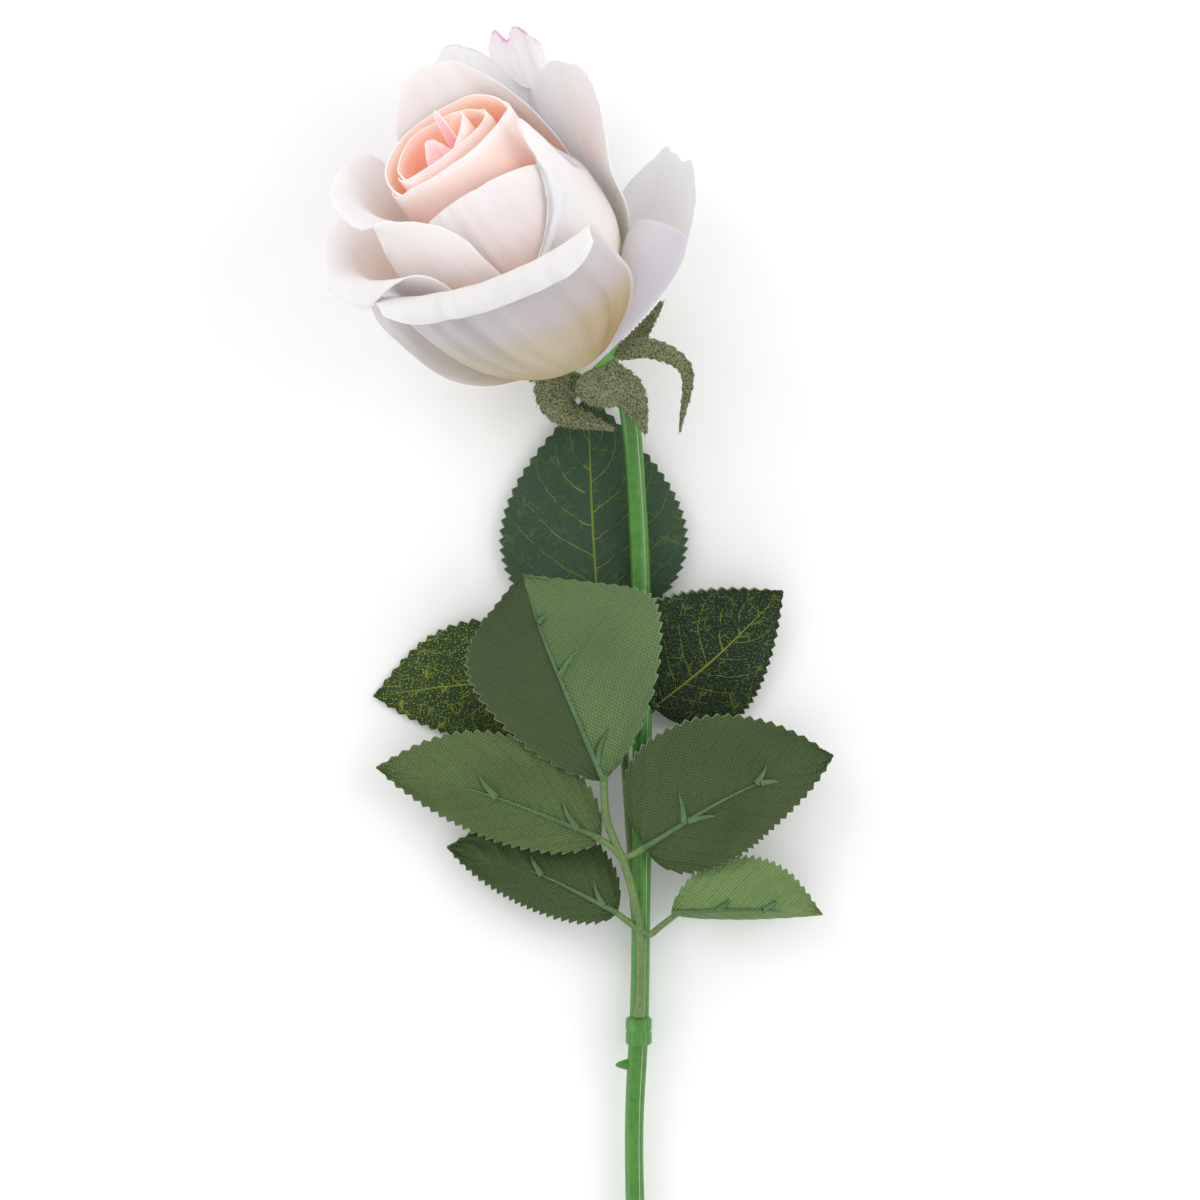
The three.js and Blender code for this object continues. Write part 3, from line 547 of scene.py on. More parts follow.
def finish(piece, material, nodes=(), angle=60):
    """Smooths a finished piece, gives it its material, and ties it to the frame."""
    bpy.ops.object.select_all(action="DESELECT")
    piece.select_set(True)
    bpy.context.view_layer.objects.active = piece
    bpy.ops.object.shade_smooth_by_angle(angle=math.radians(angle))
    if not len(piece.data.materials):
        piece.data.materials.append(material)
    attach(piece, "root")
    if nodes:
        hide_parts(*nodes)
    return piece


def apply_all(piece):
    bpy.ops.object.select_all(action="DESELECT")
    piece.select_set(True)
    bpy.context.view_layer.objects.active = piece
    for modifier in list(piece.modifiers):
        bpy.ops.object.modifier_apply(modifier=modifier.name)


def start_grid(name, columns, rows):
    """A grid primitive, and its u in -1..1 and v in 0..1 for each point."""
    bpy.ops.object.select_all(action="DESELECT")
    bpy.ops.mesh.primitive_grid_add(x_subdivisions=columns, y_subdivisions=rows, size=2, calc_uvs=True)
    piece = bpy.context.object
    piece.name = piece.data.name = name
    flat = np.empty(len(piece.data.vertices) * 3)
    piece.data.vertices.foreach_get("co", flat)
    flat = flat.reshape(-1, 3)
    return piece, flat[:, 0], (flat[:, 1] + 1) / 2


def place_points(piece, drawing_points):
    """Moves the piece's points to places given in millimetres of the drawing."""
    piece.data.vertices.foreach_set("co", ((drawing_points + SHIFT) * MM).ravel())
    piece.data.update()


def map_cloth(piece, across_mm, along_mm):
    """A second map, in metres measured on the cloth, for threads of one size."""
    piece.data.uv_layers[0].name = "UVMap"
    layer = piece.data.uv_layers.new(name="Cloth")
    corner = np.empty(len(piece.data.loops), dtype=np.int32)
    piece.data.loops.foreach_get("vertex_index", corner)
    metres = np.stack([across_mm[corner], along_mm[corner]], axis=1) * MM
    layer.data.foreach_set("uv", metres.ravel())


def thicken(piece, thickness_mm, face=None, lining=None):
    """Gives cloth its thickness; with a lining, the inner face takes a second material."""
    if lining:
        piece.data.materials.append(face)
        piece.data.materials.append(lining)
    wall = piece.modifiers.new("wall", "SOLIDIFY")
    wall.material_offset = 1 if lining else 0
    wall.thickness, wall.offset = thickness_mm * MM, 0.0
    wall.use_even_offset = False
    apply_all(piece)


print("sheet tools ready")

# %% [markdown]
# Curves through points turn up everywhere: in the side view of a petal, the
# midline of a leaflet and the stem. This is the same curve as the part uses.

# %% Smooth lines


def smooth(x):
    t = np.clip(x, 0, 1)
    return t * t * (3 - 2 * t)


def curve_at(points, share, run_on=True):
    """A smooth curve through points, at shares 0..1; run_on extends its end directions."""
    known = np.asarray(points, float)
    first = 2 * known[0] - known[1] if run_on else known[0]
    last = 2 * known[-1] - known[-2] if run_on else known[-1]
    known = np.vstack([first, known, last])
    place = np.clip(np.asarray(share, float), 0, 1) * (len(known) - 3)
    k = np.minimum(place.astype(int), len(known) - 4)
    w = (place - k)[..., None]
    a, b, c, d = known[k], known[k + 1], known[k + 2], known[k + 3]
    return 0.5 * (2 * b + (c - a) * w + (2 * a - 5 * b + 4 * c - d) * w ** 2 + (3 * b - a - 3 * c + d)
                  * w ** 3)


def evenly(points, count=400):
    """Samples of a curve and the length reached at each."""
    samples = curve_at(points, np.linspace(0, 1, count), run_on=False)
    steps = np.linalg.norm(np.diff(samples, axis=0), axis=1)
    return samples, np.concatenate([[0], np.cumsum(steps)])


def unit(vectors):
    return vectors / np.maximum(np.linalg.norm(vectors, axis=-1, keepdims=True), 1e-9)


print("curve tools ready")

# %% [markdown]
# A petal is its side view, swept round the flower. It narrows to its foot,
# cups round its neighbours, and may curl outwards at one side. Real petals are
# also never even: each gets its own slow ripples, more towards the rim, from a
# numbered random source, so that each run makes the same rose.

# %% The shape of a petal


def petal_points(p, u, v):
    """Points of a petal in the flower's own frame, and its lengths across and along."""
    rng = np.random.default_rng(p["seed"])
    samples, reach = evenly([(8.2 - 0.5 * p["layer"], 0.2 + 1.05 * p["layer"]), *p["midline"]])
    length = reach[-1]
    shares = np.linspace(0, 1, 61)
    radii = np.interp(shares * length, reach, samples[:, 0])
    widest = np.maximum.accumulate(np.maximum(radii, 3.0))

    # Scallops and notches shorten the petal at places along its rim.
    rim_wave = sum(rng.normal() * np.sin(k * u * 2.1 + rng.uniform(0, 6.28)) / k for k in (1, 2, 3, 5, 8))
    v = v * (1 - p.get("scallop", 0.02) * rim_wave * smooth((v - 0.6) / 0.4))
    v = v * (1 - p.get("notch", 0) * np.exp(-((u - p.get("notch_at", 0)) / 0.2) ** 2)
             * smooth((v - 0.3) / 0.7))
    v = np.clip(v, 0, 1)

    rounding = p.get("rounding", 0.8)
    along = np.clip(v * np.sqrt(1 - rounding * u * u / 2 * v), 0, 1)
    mid_r = np.interp(along * length, reach, samples[:, 0])
    mid_h = np.interp(along * length, reach, samples[:, 1])
    spread = 0.2 + 0.8 * smooth(v / p.get("shoulder", 0.6))
    narrowing = 1 - p.get("taper", 0) * smooth((v - 0.4) / 0.6)
    half = p["width"] / 2 * spread * narrowing * np.sqrt(1 - rounding * v * v / 2)
    cup_foot, cup_rim = p.get("cup", (1, 1))
    bend = (cup_foot + (cup_rim - cup_foot) * smooth((v - 0.3) / 0.6)) / np.interp(along, shares, widest)

    distance = np.abs(u) * half
    x = np.sin(bend * distance) / bend
    y = (1 - np.cos(bend * distance)) / bend
    for side, key in ((-1, "roll_left"), (1, "roll_right")):
        if key not in p:
            continue
        margin, turn, start = p[key]
        share = 0.3 + 0.7 * v if p.get("conical") else smooth((v - start) / 0.3)
        rolled = np.minimum(margin * share, 0.9 * half)
        flat = np.minimum(distance, half - rolled)
        unbend = -math.radians(turn) / np.maximum(rolled if p.get("conical") else margin, 0.01)
        angle = bend * flat
        reached = angle + unbend * (distance - flat)
        on = (np.sign(u) == side) & (distance > flat) & (rolled > 0)
        x = np.where(on, np.sin(angle) / bend + (np.sin(reached) - np.sin(angle)) / unbend, x)
        y = np.where(on, (1 - np.cos(angle)) / bend + (np.cos(angle) - np.cos(reached)) / unbend, y)
    x = x * np.sign(u)

    ripple = sum(rng.normal() * np.sin(k * u + m * v + rng.uniform(0, 6.28)) / (1 + 0.3 * k)
                 for k, m in ((2, 3), (4, 1), (6, 5), (9, 2), (13, 4)))
    ripple = p.get("ripple", 0.35) * ripple * smooth((v - 0.35) / 0.6)
    creases = sum(rng.normal() * np.sin(k * u + 2.2 * np.sin(3 * v + rng.uniform(0, 6.28))
                                        + rng.uniform(0, 6.28))
                  / math.sqrt(k) for k in (9, 14, 19, 26, 33))
    ripple = ripple + p.get("crease", 0.28) * creases * smooth((v - 0.1) / 0.3)
    radius = mid_r - y + p.get("spiral", 0) * u * smooth(2 * v) + ripple
    height = mid_h + p.get("slope", 0) * x * smooth(1.5 * v) + 0.4 * ripple
    azimuth = np.radians(p["azimuth"] + p.get("lean", 0) * v)
    shift_x, shift_y = p.get("shift", (0, 0))
    settle = smooth(1.3 * v)
    local = np.stack([radius * np.cos(azimuth) - x * np.sin(azimuth) + shift_x * settle,
                      radius * np.sin(azimuth) + x * np.cos(azimuth) + shift_y * settle, height], axis=1)
    return local, u * half, along * length


print("petal shape ready")

# %% [markdown]
# Petals are placed from the heart outwards. Where a new one would cut into one
# inside it, its points move straight out from the flower's axis, as far as its
# reach allows, and the move is spread over their neighbours so that no dent
# shows. This thins out the crossings but doesn't end them: a rim that folds
# back over a neighbour can still pass through it.

# %% Keeping petals apart
PETAL_GRID = 72
PETAL_WALL = 0.36
placed_points, placed_faces = [], []
GAP = 0.55
REACH = 3.2
AXIS_CORE = 2.0
SPREAD_ROUNDS = 14


def keep_clear(local, columns, rows, reach=REACH):
    """Moves points out until they clear the petals placed so far, if they are within reach."""
    if not placed_points:
        return local
    tree = BVHTree.FromPolygons([Vector(q) for q in np.vstack(placed_points)],
                                [f for group in placed_faces for f in group])
    radial = np.hypot(local[:, 0], local[:, 1])
    outwards = unit(np.stack([local[:, 0], local[:, 1], np.zeros(len(local))], axis=1))
    push = np.zeros(len(local))
    for k in np.nonzero(radial > AXIS_CORE)[0]:
        direction = Vector(outwards[k])
        hit = tree.ray_cast(Vector(local[k]) + direction * reach, -direction, reach + GAP)[0]
        if hit is not None:
            push[k] = max(0.0, math.hypot(hit.x, hit.y) + GAP - radial[k])
    field = push.reshape(rows + 1, columns + 1)
    for _ in range(SPREAD_ROUNDS):
        padded = np.pad(field, 1, mode="edge")
        spread = (padded[:-2, 1:-1] + padded[2:, 1:-1] + padded[1:-1, :-2] + padded[1:-1, 2:]) / 4
        field = np.maximum(push.reshape(field.shape), spread)
    return local + outwards * field.ravel()[:, None]


def remember(local, piece):
    offset = sum(len(group) for group in placed_points)
    placed_points.append(local.copy())
    placed_faces.append([[offset + i for i in polygon.vertices] for polygon in piece.data.polygons])


def make_petal(name, p, material, nodes=(), lining=None):
    piece, u, v = start_grid(name, PETAL_GRID, PETAL_GRID)
    local, across_mm, along_mm = petal_points(p, u, v)
    local = keep_clear(local, PETAL_GRID, PETAL_GRID, p.get("reach", REACH))
    remember(local, piece)
    map_cloth(piece, across_mm, along_mm)
    place_points(piece, from_head(local))
    thicken(piece, p.get("wall", PETAL_WALL), material, lining)
    return finish(piece, material, nodes)


print("petal maker ready")

# %% [markdown]
# The heart: two small pink petals that cross, a small peach curl beside them,
# and two rings of peach cloth round them, each a pair of petals that lap at
# their sides. The rings and the curl have an orange lining inside.

# %% Heart of the flower
HEART = {
    "core_petal_back": (dict(layer=11, azimuth=110, width=24, rounding=0.95, taper=0.5, seed=1,
                             ripple=0.5,
                             midline=[(3, 20), (4.5, 32), (4.5, 52), (3.6, 75)]), PINK, "pink_petal"),
    "core_petal_front": (dict(layer=11, azimuth=-30, width=27, rounding=0.95, taper=0.3, seed=2,
                              ripple=0.6,
                              scallop=0.03, midline=[(5, 18), (7, 32), (7, 52), (4.6, 72)]), PINK,
                         "pink_petal"),
    "inner_ring_back": (dict(layer=10, azimuth=195, width=52, rounding=0.25, spiral=0.5, seed=3,
                             scallop=0.008,
                             crease=0.12, midline=[(7.5, 16), (12, 32), (12.5, 52), (10.8, 70)]), PEACH,
                        "peach_petal"),
    "inner_ring_front": (dict(layer=10, azimuth=15, width=56, rounding=0.25, spiral=0.5, seed=4,
                              scallop=0.008,
                              crease=0.12, midline=[(7.5, 16), (12, 32), (12.5, 52), (11, 69.3)]), PEACH,
                         "peach_petal"),
    "outer_ring_back": (dict(layer=9, azimuth=185, width=66, rounding=0.25, spiral=0.5, shift=(0, 1),
                             seed=5, scallop=0.008, crease=0.12,
                             midline=[(11, 14), (16.4, 32), (16.8, 52), (15, 70)]), PEACH, "peach_petal"),
    "outer_ring_front": (dict(layer=9, azimuth=5, width=72, rounding=0.25, spiral=0.5, shift=(0, 1),
                              slope=0.02, seed=6, scallop=0.008, crease=0.12,
                              midline=[(11, 14), (16.4, 32), (16.8, 50), (15.2, 68)]), PEACH,
                         "peach_petal"),
}
for name, (p, cloth, slot) in HEART.items():
    make_petal(name + "_cloth", p, cloth, [name], LINING if cloth is PEACH else None)
    if name == "core_petal_front":
        curl = dict(layer=10.5, azimuth=70, width=30, rounding=0.3, seed=31, scallop=0.01,
                    midline=[(6, 20), (9.2, 34), (9.4, 52), (8.4, 71)])
        make_petal("core_curl_cloth", curl, PEACH, lining=LINING)
print("heart of", len(HEART), "petals")

# %% [markdown]
# Round the heart come the blush petals that make the bud: back, left, front and
# right, then one more at the left front. The back and right ones are paler, and
# all but the right one have a warm lining inside.

# %% Blush petals
BUD = {
    "inner_back_petal": dict(layer=8, azimuth=171, width=56, rounding=0.9, shift=(0, 4), seed=7,
                             ripple=0.5, midline=[(12, 12), (20, 30), (20.5, 52), (18.5, 68), (20, 79)]),
    "left_petal": dict(layer=7, azimuth=-94, width=54, rounding=0.6, spiral=-3, slope=-0.3, seed=8,
                       ripple=0.6,
                       scallop=0.02, midline=[(14, 11), (21.5, 28), (22, 50), (23.5, 63), (26, 68.5),
                                              (29, 68.5), (29.6, 65.5)]),
    "front_petal": dict(layer=6, azimuth=-9, width=50, rounding=0.45, slope=-0.02, seed=9, ripple=0.25,
                        midline=[(14, 10), (22.5, 28), (23, 46), (21, 62)]),
    "right_petal": dict(layer=5, azimuth=44, width=84, rounding=0.9, taper=0.84, shoulder=0.42, lean=6,
                        roll_left=(1.3, 190, 0.3), seed=10, ripple=0.2, scallop=0.006, crease=0.15,
                        midline=[(14, 9), (24, 26), (25, 44), (24, 56), (23, 67)]),
    "left_front_petal": dict(layer=4, azimuth=-54, width=40, rounding=0.7, seed=11, ripple=0.3,
                             midline=[(15, 9), (24.5, 26), (27, 46), (26, 60), (27.5, 67)]),
}
for name, p in BUD.items():
    make_petal(name + "_cloth", p, PALE if name in ("right_petal", "inner_back_petal") else BLUSH,
               [name], None if name == "right_petal" else WARM)
print("bud of", len(BUD), "petals")

# %% [markdown]
# The outer petals are white. Some stand up behind the bud, and the big guard
# petals lie round it, with the lowest near the table. The left and front guards
# have a warm lining inside. A small folded scrap of cloth is tucked in first.

# %% White outer petals
# The back and right petals take the painted-light copy of the white cloth, the lowest guard the copy with
# floor light painted in, and the front guard the painted-shade copy.
OUTER = {
    "right_back_petal": (dict(layer=3, azimuth=102, width=40, cup=(1, 0.6), rounding=0.45, shoulder=0.9,
                              spiral=-1.5,
                              seed=12, midline=[(16, 9), (26, 26), (29, 42), (38, 63)]), WHITE_PAINTED_LIGHT),
    "back_petal": (dict(layer=2, azimuth=152, width=30, cup=(1, 0.9), rounding=0.7, spiral=-2, seed=13,
                        ripple=0.5, midline=[(17, 9), (27, 28), (30, 52), (34, 75)]), WHITE_PAINTED_LIGHT),
    "twisted_petal": (dict(layer=1, azimuth=137, width=19, cup=(1, 0.8), rounding=0.45,
                           roll_left=(4, 80, 0.5), roll_right=(4, 80, 0.5), notch=0.045, seed=14,
                           scallop=0.01, midline=[(18, 8), (29.5, 28), (38, 54), (45.5, 70.5)]), TIPPED),
    "guard_petal_left": (dict(layer=2, azimuth=-93, width=66, rounding=0.5, slope=-0.03, spiral=-2,
                              seed=15, ripple=0.5,
                              midline=[(17, 7), (27, 18), (31.5, 36), (33.5, 50), (36, 55.5), (39.5, 57),
                                       (42, 54), (41, 50.5), (38.5, 50)]),
                         WHITE),
    "guard_petal_front": (dict(layer=1, azimuth=-20, width=61, cup=(1, 0.95), rounding=0.35, slope=-0.23,
                               spiral=-2, seed=16, ripple=0.25, crease=1.2, scallop=0.02,
                               midline=[(17, 6), (27, 17), (32, 32), (33, 42), (35, 46.3),
                                                             (38, 47), (40.4, 44.6), (39.8, 41.4),
                                                             (37, 40.6)]), SHADED),
    "guard_petal_back": (dict(layer=0, azimuth=168, width=54, cup=(1, 0.9), spiral=1.5, seed=17,
                              ripple=0.25,
                              midline=[(20, 6), (34, 20), (42, 36), (47, 45), (50, 46)]), WHITE_PAINTED_LIGHT),
    "guard_petal_right": (dict(layer=0, azimuth=108, width=46, cup=(0.7, 0.4), rounding=0.9, shoulder=0.7,
                               seed=18, ripple=0.7, scallop=0.05, crease=0.4,
                               midline=[(15, 3.5), (27, 9), (39, 16), (50, 23.5)]), WHITE_PAINTED_LIGHT),
    "guard_petal_low": (dict(layer=0, azimuth=-124, width=58, cup=(1, 0.95), rounding=0.9, spiral=1.5,
                             seed=19, ripple=0.4, scallop=0.02, reach=7.0,
                             midline=[(19, 6), (31, 18), (36, 33), (40.5, 42)]), WHITE_PAINTED_FLOOR_LIGHT),
}
FOLD = dict(layer=6, azimuth=128, width=15, rounding=0.8, seed=33, ripple=0.5, scallop=0.02,
            roll_left=(3, 120, 0.4), midline=[(16, 12), (24, 32), (24, 52), (25, 67)])
make_petal("folded_scrap_cloth", FOLD, LILAC)
WARM_INSIDE = ("guard_petal_left", "guard_petal_front")
for name, (p, cloth) in OUTER.items():
    make_petal(name + "_cloth", p, cloth, [name], WARM if name in WARM_INSIDE else None)

# %% [markdown]
# The near side of the right guard petal is rolled back into a cone of cloth. A
# side view swept round the flower can't make that, so its margin is a sheet of
# its own: an open tube round a line, narrow at the foot and wide at the top.

# %% The rolled margin of the right guard petal
ROLL_LINE = [(-4.6, 56.6, 28), (1.0, 63.5, 34), (7.6, 73.5, 40), (12.6, 83, 43), (16.2, 91.5, 44)]
ROLL_COLUMNS, ROLL_ROWS = 64, 72
piece, u, v = start_grid("guard_petal_roll_cloth", ROLL_COLUMNS, ROLL_ROWS)
wave = np.random.default_rng(40)
along = np.clip(v * np.sqrt(1 - 0.42 * u * u * v), 0, 1)
spine = curve_at(ROLL_LINE, along)
ahead = unit(curve_at(ROLL_LINE, np.minimum(along + 1e-3, 1))
             - curve_at(ROLL_LINE, np.maximum(along - 1e-3, 0)))
side = unit(np.cross(ahead, [0.1, -0.1, 1.0]))
lift = np.cross(side, ahead)
fold = sum(wave.normal() * np.sin(k * u + 5 * v + wave.uniform(0, 6.28)) / math.sqrt(k)
           for k in (3, 5, 8, 13, 21, 34))
radius = 1.5 + 5.9 * smooth(along / 0.85) - 1.0 * smooth((along - 0.8) / 0.2) + 0.14 * fold
angle = math.radians(165) * u
reach = radius * (1 - 0.12 * u)
points = spine + side * (reach * np.sin(angle))[:, None] + lift * (0.72 * reach * np.cos(angle))[:, None]
from_base = points - CALYX_BASE
local = keep_clear(np.stack([from_base @ SKYWARD, from_base @ ACROSS, from_base @ AXIS], axis=1),
                   ROLL_COLUMNS, ROLL_ROWS, 6.0)
map_cloth(piece, angle * radius, 42 * along)
place_points(piece, from_head(local))
thicken(piece, 0.4)
finish(piece, LILAC, ["guard_petal_roll"])

# %% [markdown]
# The calyx is a turned shape, so it is made as on a lathe: a circle is
# extruded ring by ring and each ring is scaled to its radius, then the whole
# is laid over to the flower's axis. It starts at its thin neck.

# %% Calyx


def turned(name, profile, sides=40):
    """A closed shape from rings (radius, height) in millimetres, made by extruding a circle."""
    bpy.ops.object.select_all(action="DESELECT")
    first_r, first_h = profile[0]
    bpy.ops.mesh.primitive_circle_add(vertices=sides, radius=first_r * MM, fill_type="NGON",
                                      location=(0, 0, first_h * MM))
    piece = bpy.context.object
    piece.name = piece.data.name = name
    bpy.ops.object.transform_apply(location=True, rotation=False, scale=False)
    bpy.ops.object.mode_set(mode="EDIT")
    bpy.ops.mesh.select_all(action="SELECT")
    for (old_r, old_h), (r, h) in zip(profile, profile[1:]):
        bpy.ops.mesh.extrude_region_move(TRANSFORM_OT_translate={"value": (0, 0, (h - old_h) * MM)})
        bpy.ops.transform.resize(value=(r / old_r, r / old_r, 1), center_override=(0, 0, h * MM))
    bpy.ops.mesh.select_all(action="SELECT")
    bpy.ops.mesh.normals_make_consistent(inside=False)
    bpy.ops.object.mode_set(mode="OBJECT")
    return piece


calyx = turned("calyx_cup", [(2.1, -13), (2.3, -12), (2.9, -9.5)]
               + [(r, h) for r, h in CALYX_PROFILE[3:] if r > 0])
ring_points = np.empty(len(calyx.data.vertices) * 3)
calyx.data.vertices.foreach_get("co", ring_points)
place_points(calyx, from_head(ring_points.reshape(-1, 3) / MM))
soften = calyx.modifiers.new("soften", "SUBSURF")
soften.levels = soften.render_levels = 1
apply_all(calyx)
finish(calyx, CALYX_PLASTIC, ["calyx"])
print("calyx faces", len(calyx.data.polygons))

# %% [markdown]
# A long round piece such as the stem is a grid that is rolled into a tube
# round its line. Its seam is merged and its ends are filled in edit mode. The
# cut end is then inset and pushed in, so that the wire shows in its bore.

# %% Making a tube


def tube(name, line, radius_at, sides=24, steps=90, bore=None):
    piece, u, v = start_grid(name, sides, steps)
    centre = curve_at(line, v)
    ahead = unit(curve_at(line, np.minimum(v + 1e-3, 1)) - curve_at(line, np.maximum(v - 1e-3, 0)))
    side = unit(np.cross(ahead, [0.03, 0.02, 1.0]))
    up = np.cross(side, ahead)
    turn, radius = -math.pi * u[:, None], np.asarray(radius_at(v), float)[:, None]
    place_points(piece, centre + radius * (side * np.cos(turn) + up * np.sin(turn)))
    around = u * math.pi * radius[:, 0]
    map_cloth(piece, around, evenly(line)[1][-1] * v)
    bpy.ops.object.mode_set(mode="EDIT")
    bpy.ops.mesh.select_all(action="SELECT")
    bpy.ops.mesh.remove_doubles(threshold=1e-6)
    bpy.ops.mesh.select_all(action="DESELECT")
    bpy.ops.mesh.select_mode(type="EDGE")
    bpy.ops.mesh.select_non_manifold()
    bpy.ops.mesh.fill_holes(sides=0)
    bpy.ops.mesh.select_all(action="SELECT")
    bpy.ops.mesh.normals_make_consistent(inside=False)
    bpy.ops.mesh.select_mode(type="FACE")
    bpy.ops.mesh.select_all(action="DESELECT")
    bpy.ops.object.mode_set(mode="OBJECT")
    if bore:
        end = Vector((curve_at(line, 1.0) + SHIFT) * MM)
        cap = min((f for f in piece.data.polygons if len(f.vertices) > 8),
                  key=lambda f: (f.center - end).length)
        cap.select = True
        bpy.ops.object.mode_set(mode="EDIT")
        bpy.ops.mesh.inset(thickness=bore * MM)
        inward = (curve_at(line, 0.99) - curve_at(line, 1.0)) * MM
        bpy.ops.mesh.extrude_region_move(TRANSFORM_OT_translate={"value": tuple(unit(inward) * 0.002)})
        bpy.ops.object.mode_set(mode="OBJECT")
    return piece


print("tube maker ready")

# %% [markdown]
# The stem leaves the calyx along the flower's axis, comes down to the floor and
# ends in a flat cut. A moulded collar holds the two leaf stalks, a thorn nub
# stands below it, and a parting line runs along its right side.

# %% Stem
STEM_RADIUS, STEM_BORE = 2.4, 1.4
NECK = CALYX_BASE - 14.3 * AXIS
CUT_Y = NECK[1] - 310
STEM_LINE = [NECK + 4 * AXIS, NECK - 3 * AXIS, (8.6, 35, 11.4), (10.2, 5, 9.6), (10.6, -40, 8.8),
             (10, -100, 7.4),
             (8.6, -105 + 0.23 * (CUT_Y + 105), 6.2), (11, -105 + 0.62 * (CUT_Y + 105), 4.3),
             (15, CUT_Y, 2.4)]
stem_samples = curve_at(STEM_LINE, np.linspace(0, 1, 2000))


def stem_at(y):
    return stem_samples[np.argmin(np.abs(stem_samples[:, 1] - y))]


stem = tube("stem_tube", STEM_LINE, lambda v: np.full(len(v), STEM_RADIUS) + 0.06 * np.sin(40 * v),
            steps=160, bore=STEM_BORE)
finish(stem, STEM_PLASTIC, ["stem"], angle=40)
seam_line = [stem_samples[k] + (1.2, 0, 2.06) for k in range(40, 1990, 60)]
seam = tube("stem_parting_line", seam_line, lambda v: np.full(len(v), 0.16), sides=8, steps=120)
finish(seam, SEAM_PLASTIC)
wire_mesh = bpy.data.objects["stem_wire"].data
wire_mesh.materials.clear()
wire_mesh.materials.append(WIRE_STEEL)
print("stem faces", len(stem.data.polygons))

# %% [markdown]
# The collar and its two sockets are turned rings laid along the stem, and each
# leaf stalk starts at a socket. The nub is a small turned cone that stands out
# from the stem as a cut thorn does. All four repeat features of the solid stem.

# %% Collar, sockets and nub
COLLAR = stem_at(-108.5)
SOCKET_OFFSET = STEM_RADIUS + 1.1 + 0.2
TURN_TO_Y = Matrix.Rotation(math.radians(-90), 4, "X")


def lay_along(piece, matrix, place):
    piece.data.transform(Matrix.Translation(Vector((np.asarray(place) + SHIFT) * MM)) @ matrix)
    piece.data.update()


for name, radius, lift in (("collar_ring", 3.3, 0), ("front_socket", 1.9, SOCKET_OFFSET),
                           ("rear_socket", 1.7, -SOCKET_OFFSET)):
    ring = turned(name, [(radius - 0.5, -3.5), (radius, -3.0), (radius, -0.6), (radius - 0.18, 0),
                         (radius, 0.6), (radius, 3.0), (radius - 0.5, 3.5)], sides=28)
    lay_along(ring, TURN_TO_Y, COLLAR + (0, 0, lift))
    finish(ring, STEM_PLASTIC, angle=35)
nub = turned("thorn_nub", [(1.9, -2.4), (1.5, -1), (1.1, 0.6), (0.7, 1.8), (0.25, 2.5)], sides=18)
lay_along(nub, Matrix.Rotation(math.radians(-70), 4, "Y"), stem_at(-117) + (-3.0, 0, 0.2))
finish(nub, STEM_PLASTIC, angle=50)
print("collar at", COLLAR.round(1))

# %% [markdown]
# Each spray hangs on one moulded stalk with side arms. The arms are tubes that
# run into each other, and they are joined to one piece as they are cast.

# %% Leaf stalks
FRONT_FORK, FRONT_CROOK, REAR_FORK = (5.5, -64.5, 15.5), (10, -83, 12.2), (5.5, -33, 2.3)
COLLAR_TOP = -104.7
STALKS = {
    "front_stalk": [([(COLLAR[0], COLLAR_TOP, COLLAR[2] + SOCKET_OFFSET), (10.2, -97, 11.4), FRONT_CROOK,
                      (8, -72.5, 14), FRONT_FORK, (1.75, -55, 17), (0.8, -43.5, 18.9)], 1.1),
                    ([FRONT_FORK, (2.6, -61.4, 16.1), (-1.8, -58.7, 16.9)], 0.88),
                    ([FRONT_FORK, (8.4, -63.4, 16.1), (12.8, -60.7, 17.1)], 0.88),
                    ([FRONT_CROOK, (6.8, -80.4, 12.7), (2.4, -77.2, 13.1)], 0.88),
                    ([FRONT_CROOK, (12.5, -83.8, 12.4), (15.6, -81.4, 12.6), (19.8, -78.2, 13.1)], 0.88)],
    "rear_stalk": [([(COLLAR[0], COLLAR_TOP, COLLAR[2] - SOCKET_OFFSET), (9.4, -90, 2.1), (7.6, -60, 2),
                     REAR_FORK, (1.8, -17, 3.4), (-0.3, -5.4, 4.9)], 1.1),
                   ([REAR_FORK, (9.4, -31.2, 2.9), (14.6, -26.2, 6.9)], 0.88),
                   ([REAR_FORK, (3.2, -30.4, 2.3), (-1.2, -28.2, 2.5)], 0.88)],
}


def join(pieces, name):
    bpy.ops.object.select_all(action="DESELECT")
    for piece in pieces:
        piece.select_set(True)
    bpy.context.view_layer.objects.active = pieces[0]
    bpy.ops.object.join()
    pieces[0].name = pieces[0].data.name = name
    return pieces[0]


for name, arms in STALKS.items():
    parts = []
    for index, (line, radius) in enumerate(arms):
        def swell(v, radius=radius):
            return radius * (1 + 0.12 * np.exp(-(v / 0.05) ** 2) - 0.12 * v)
        parts.append(tube(f"{name}_arm_{index}", line, swell, sides=16, steps=48))
    finish(join(parts, name + "_moulding"), STALK_PLASTIC, [name], angle=45)
print("stalks", list(STALKS))

# %% [markdown]
# Leaflets and sepals are strips: a bent midline with a half width on each side,
# and an angle by which each half drops. The margin of a leaflet is cut in
# saw teeth that point to its tip. The underside bulges between its side veins.

# %% The shape of a strip


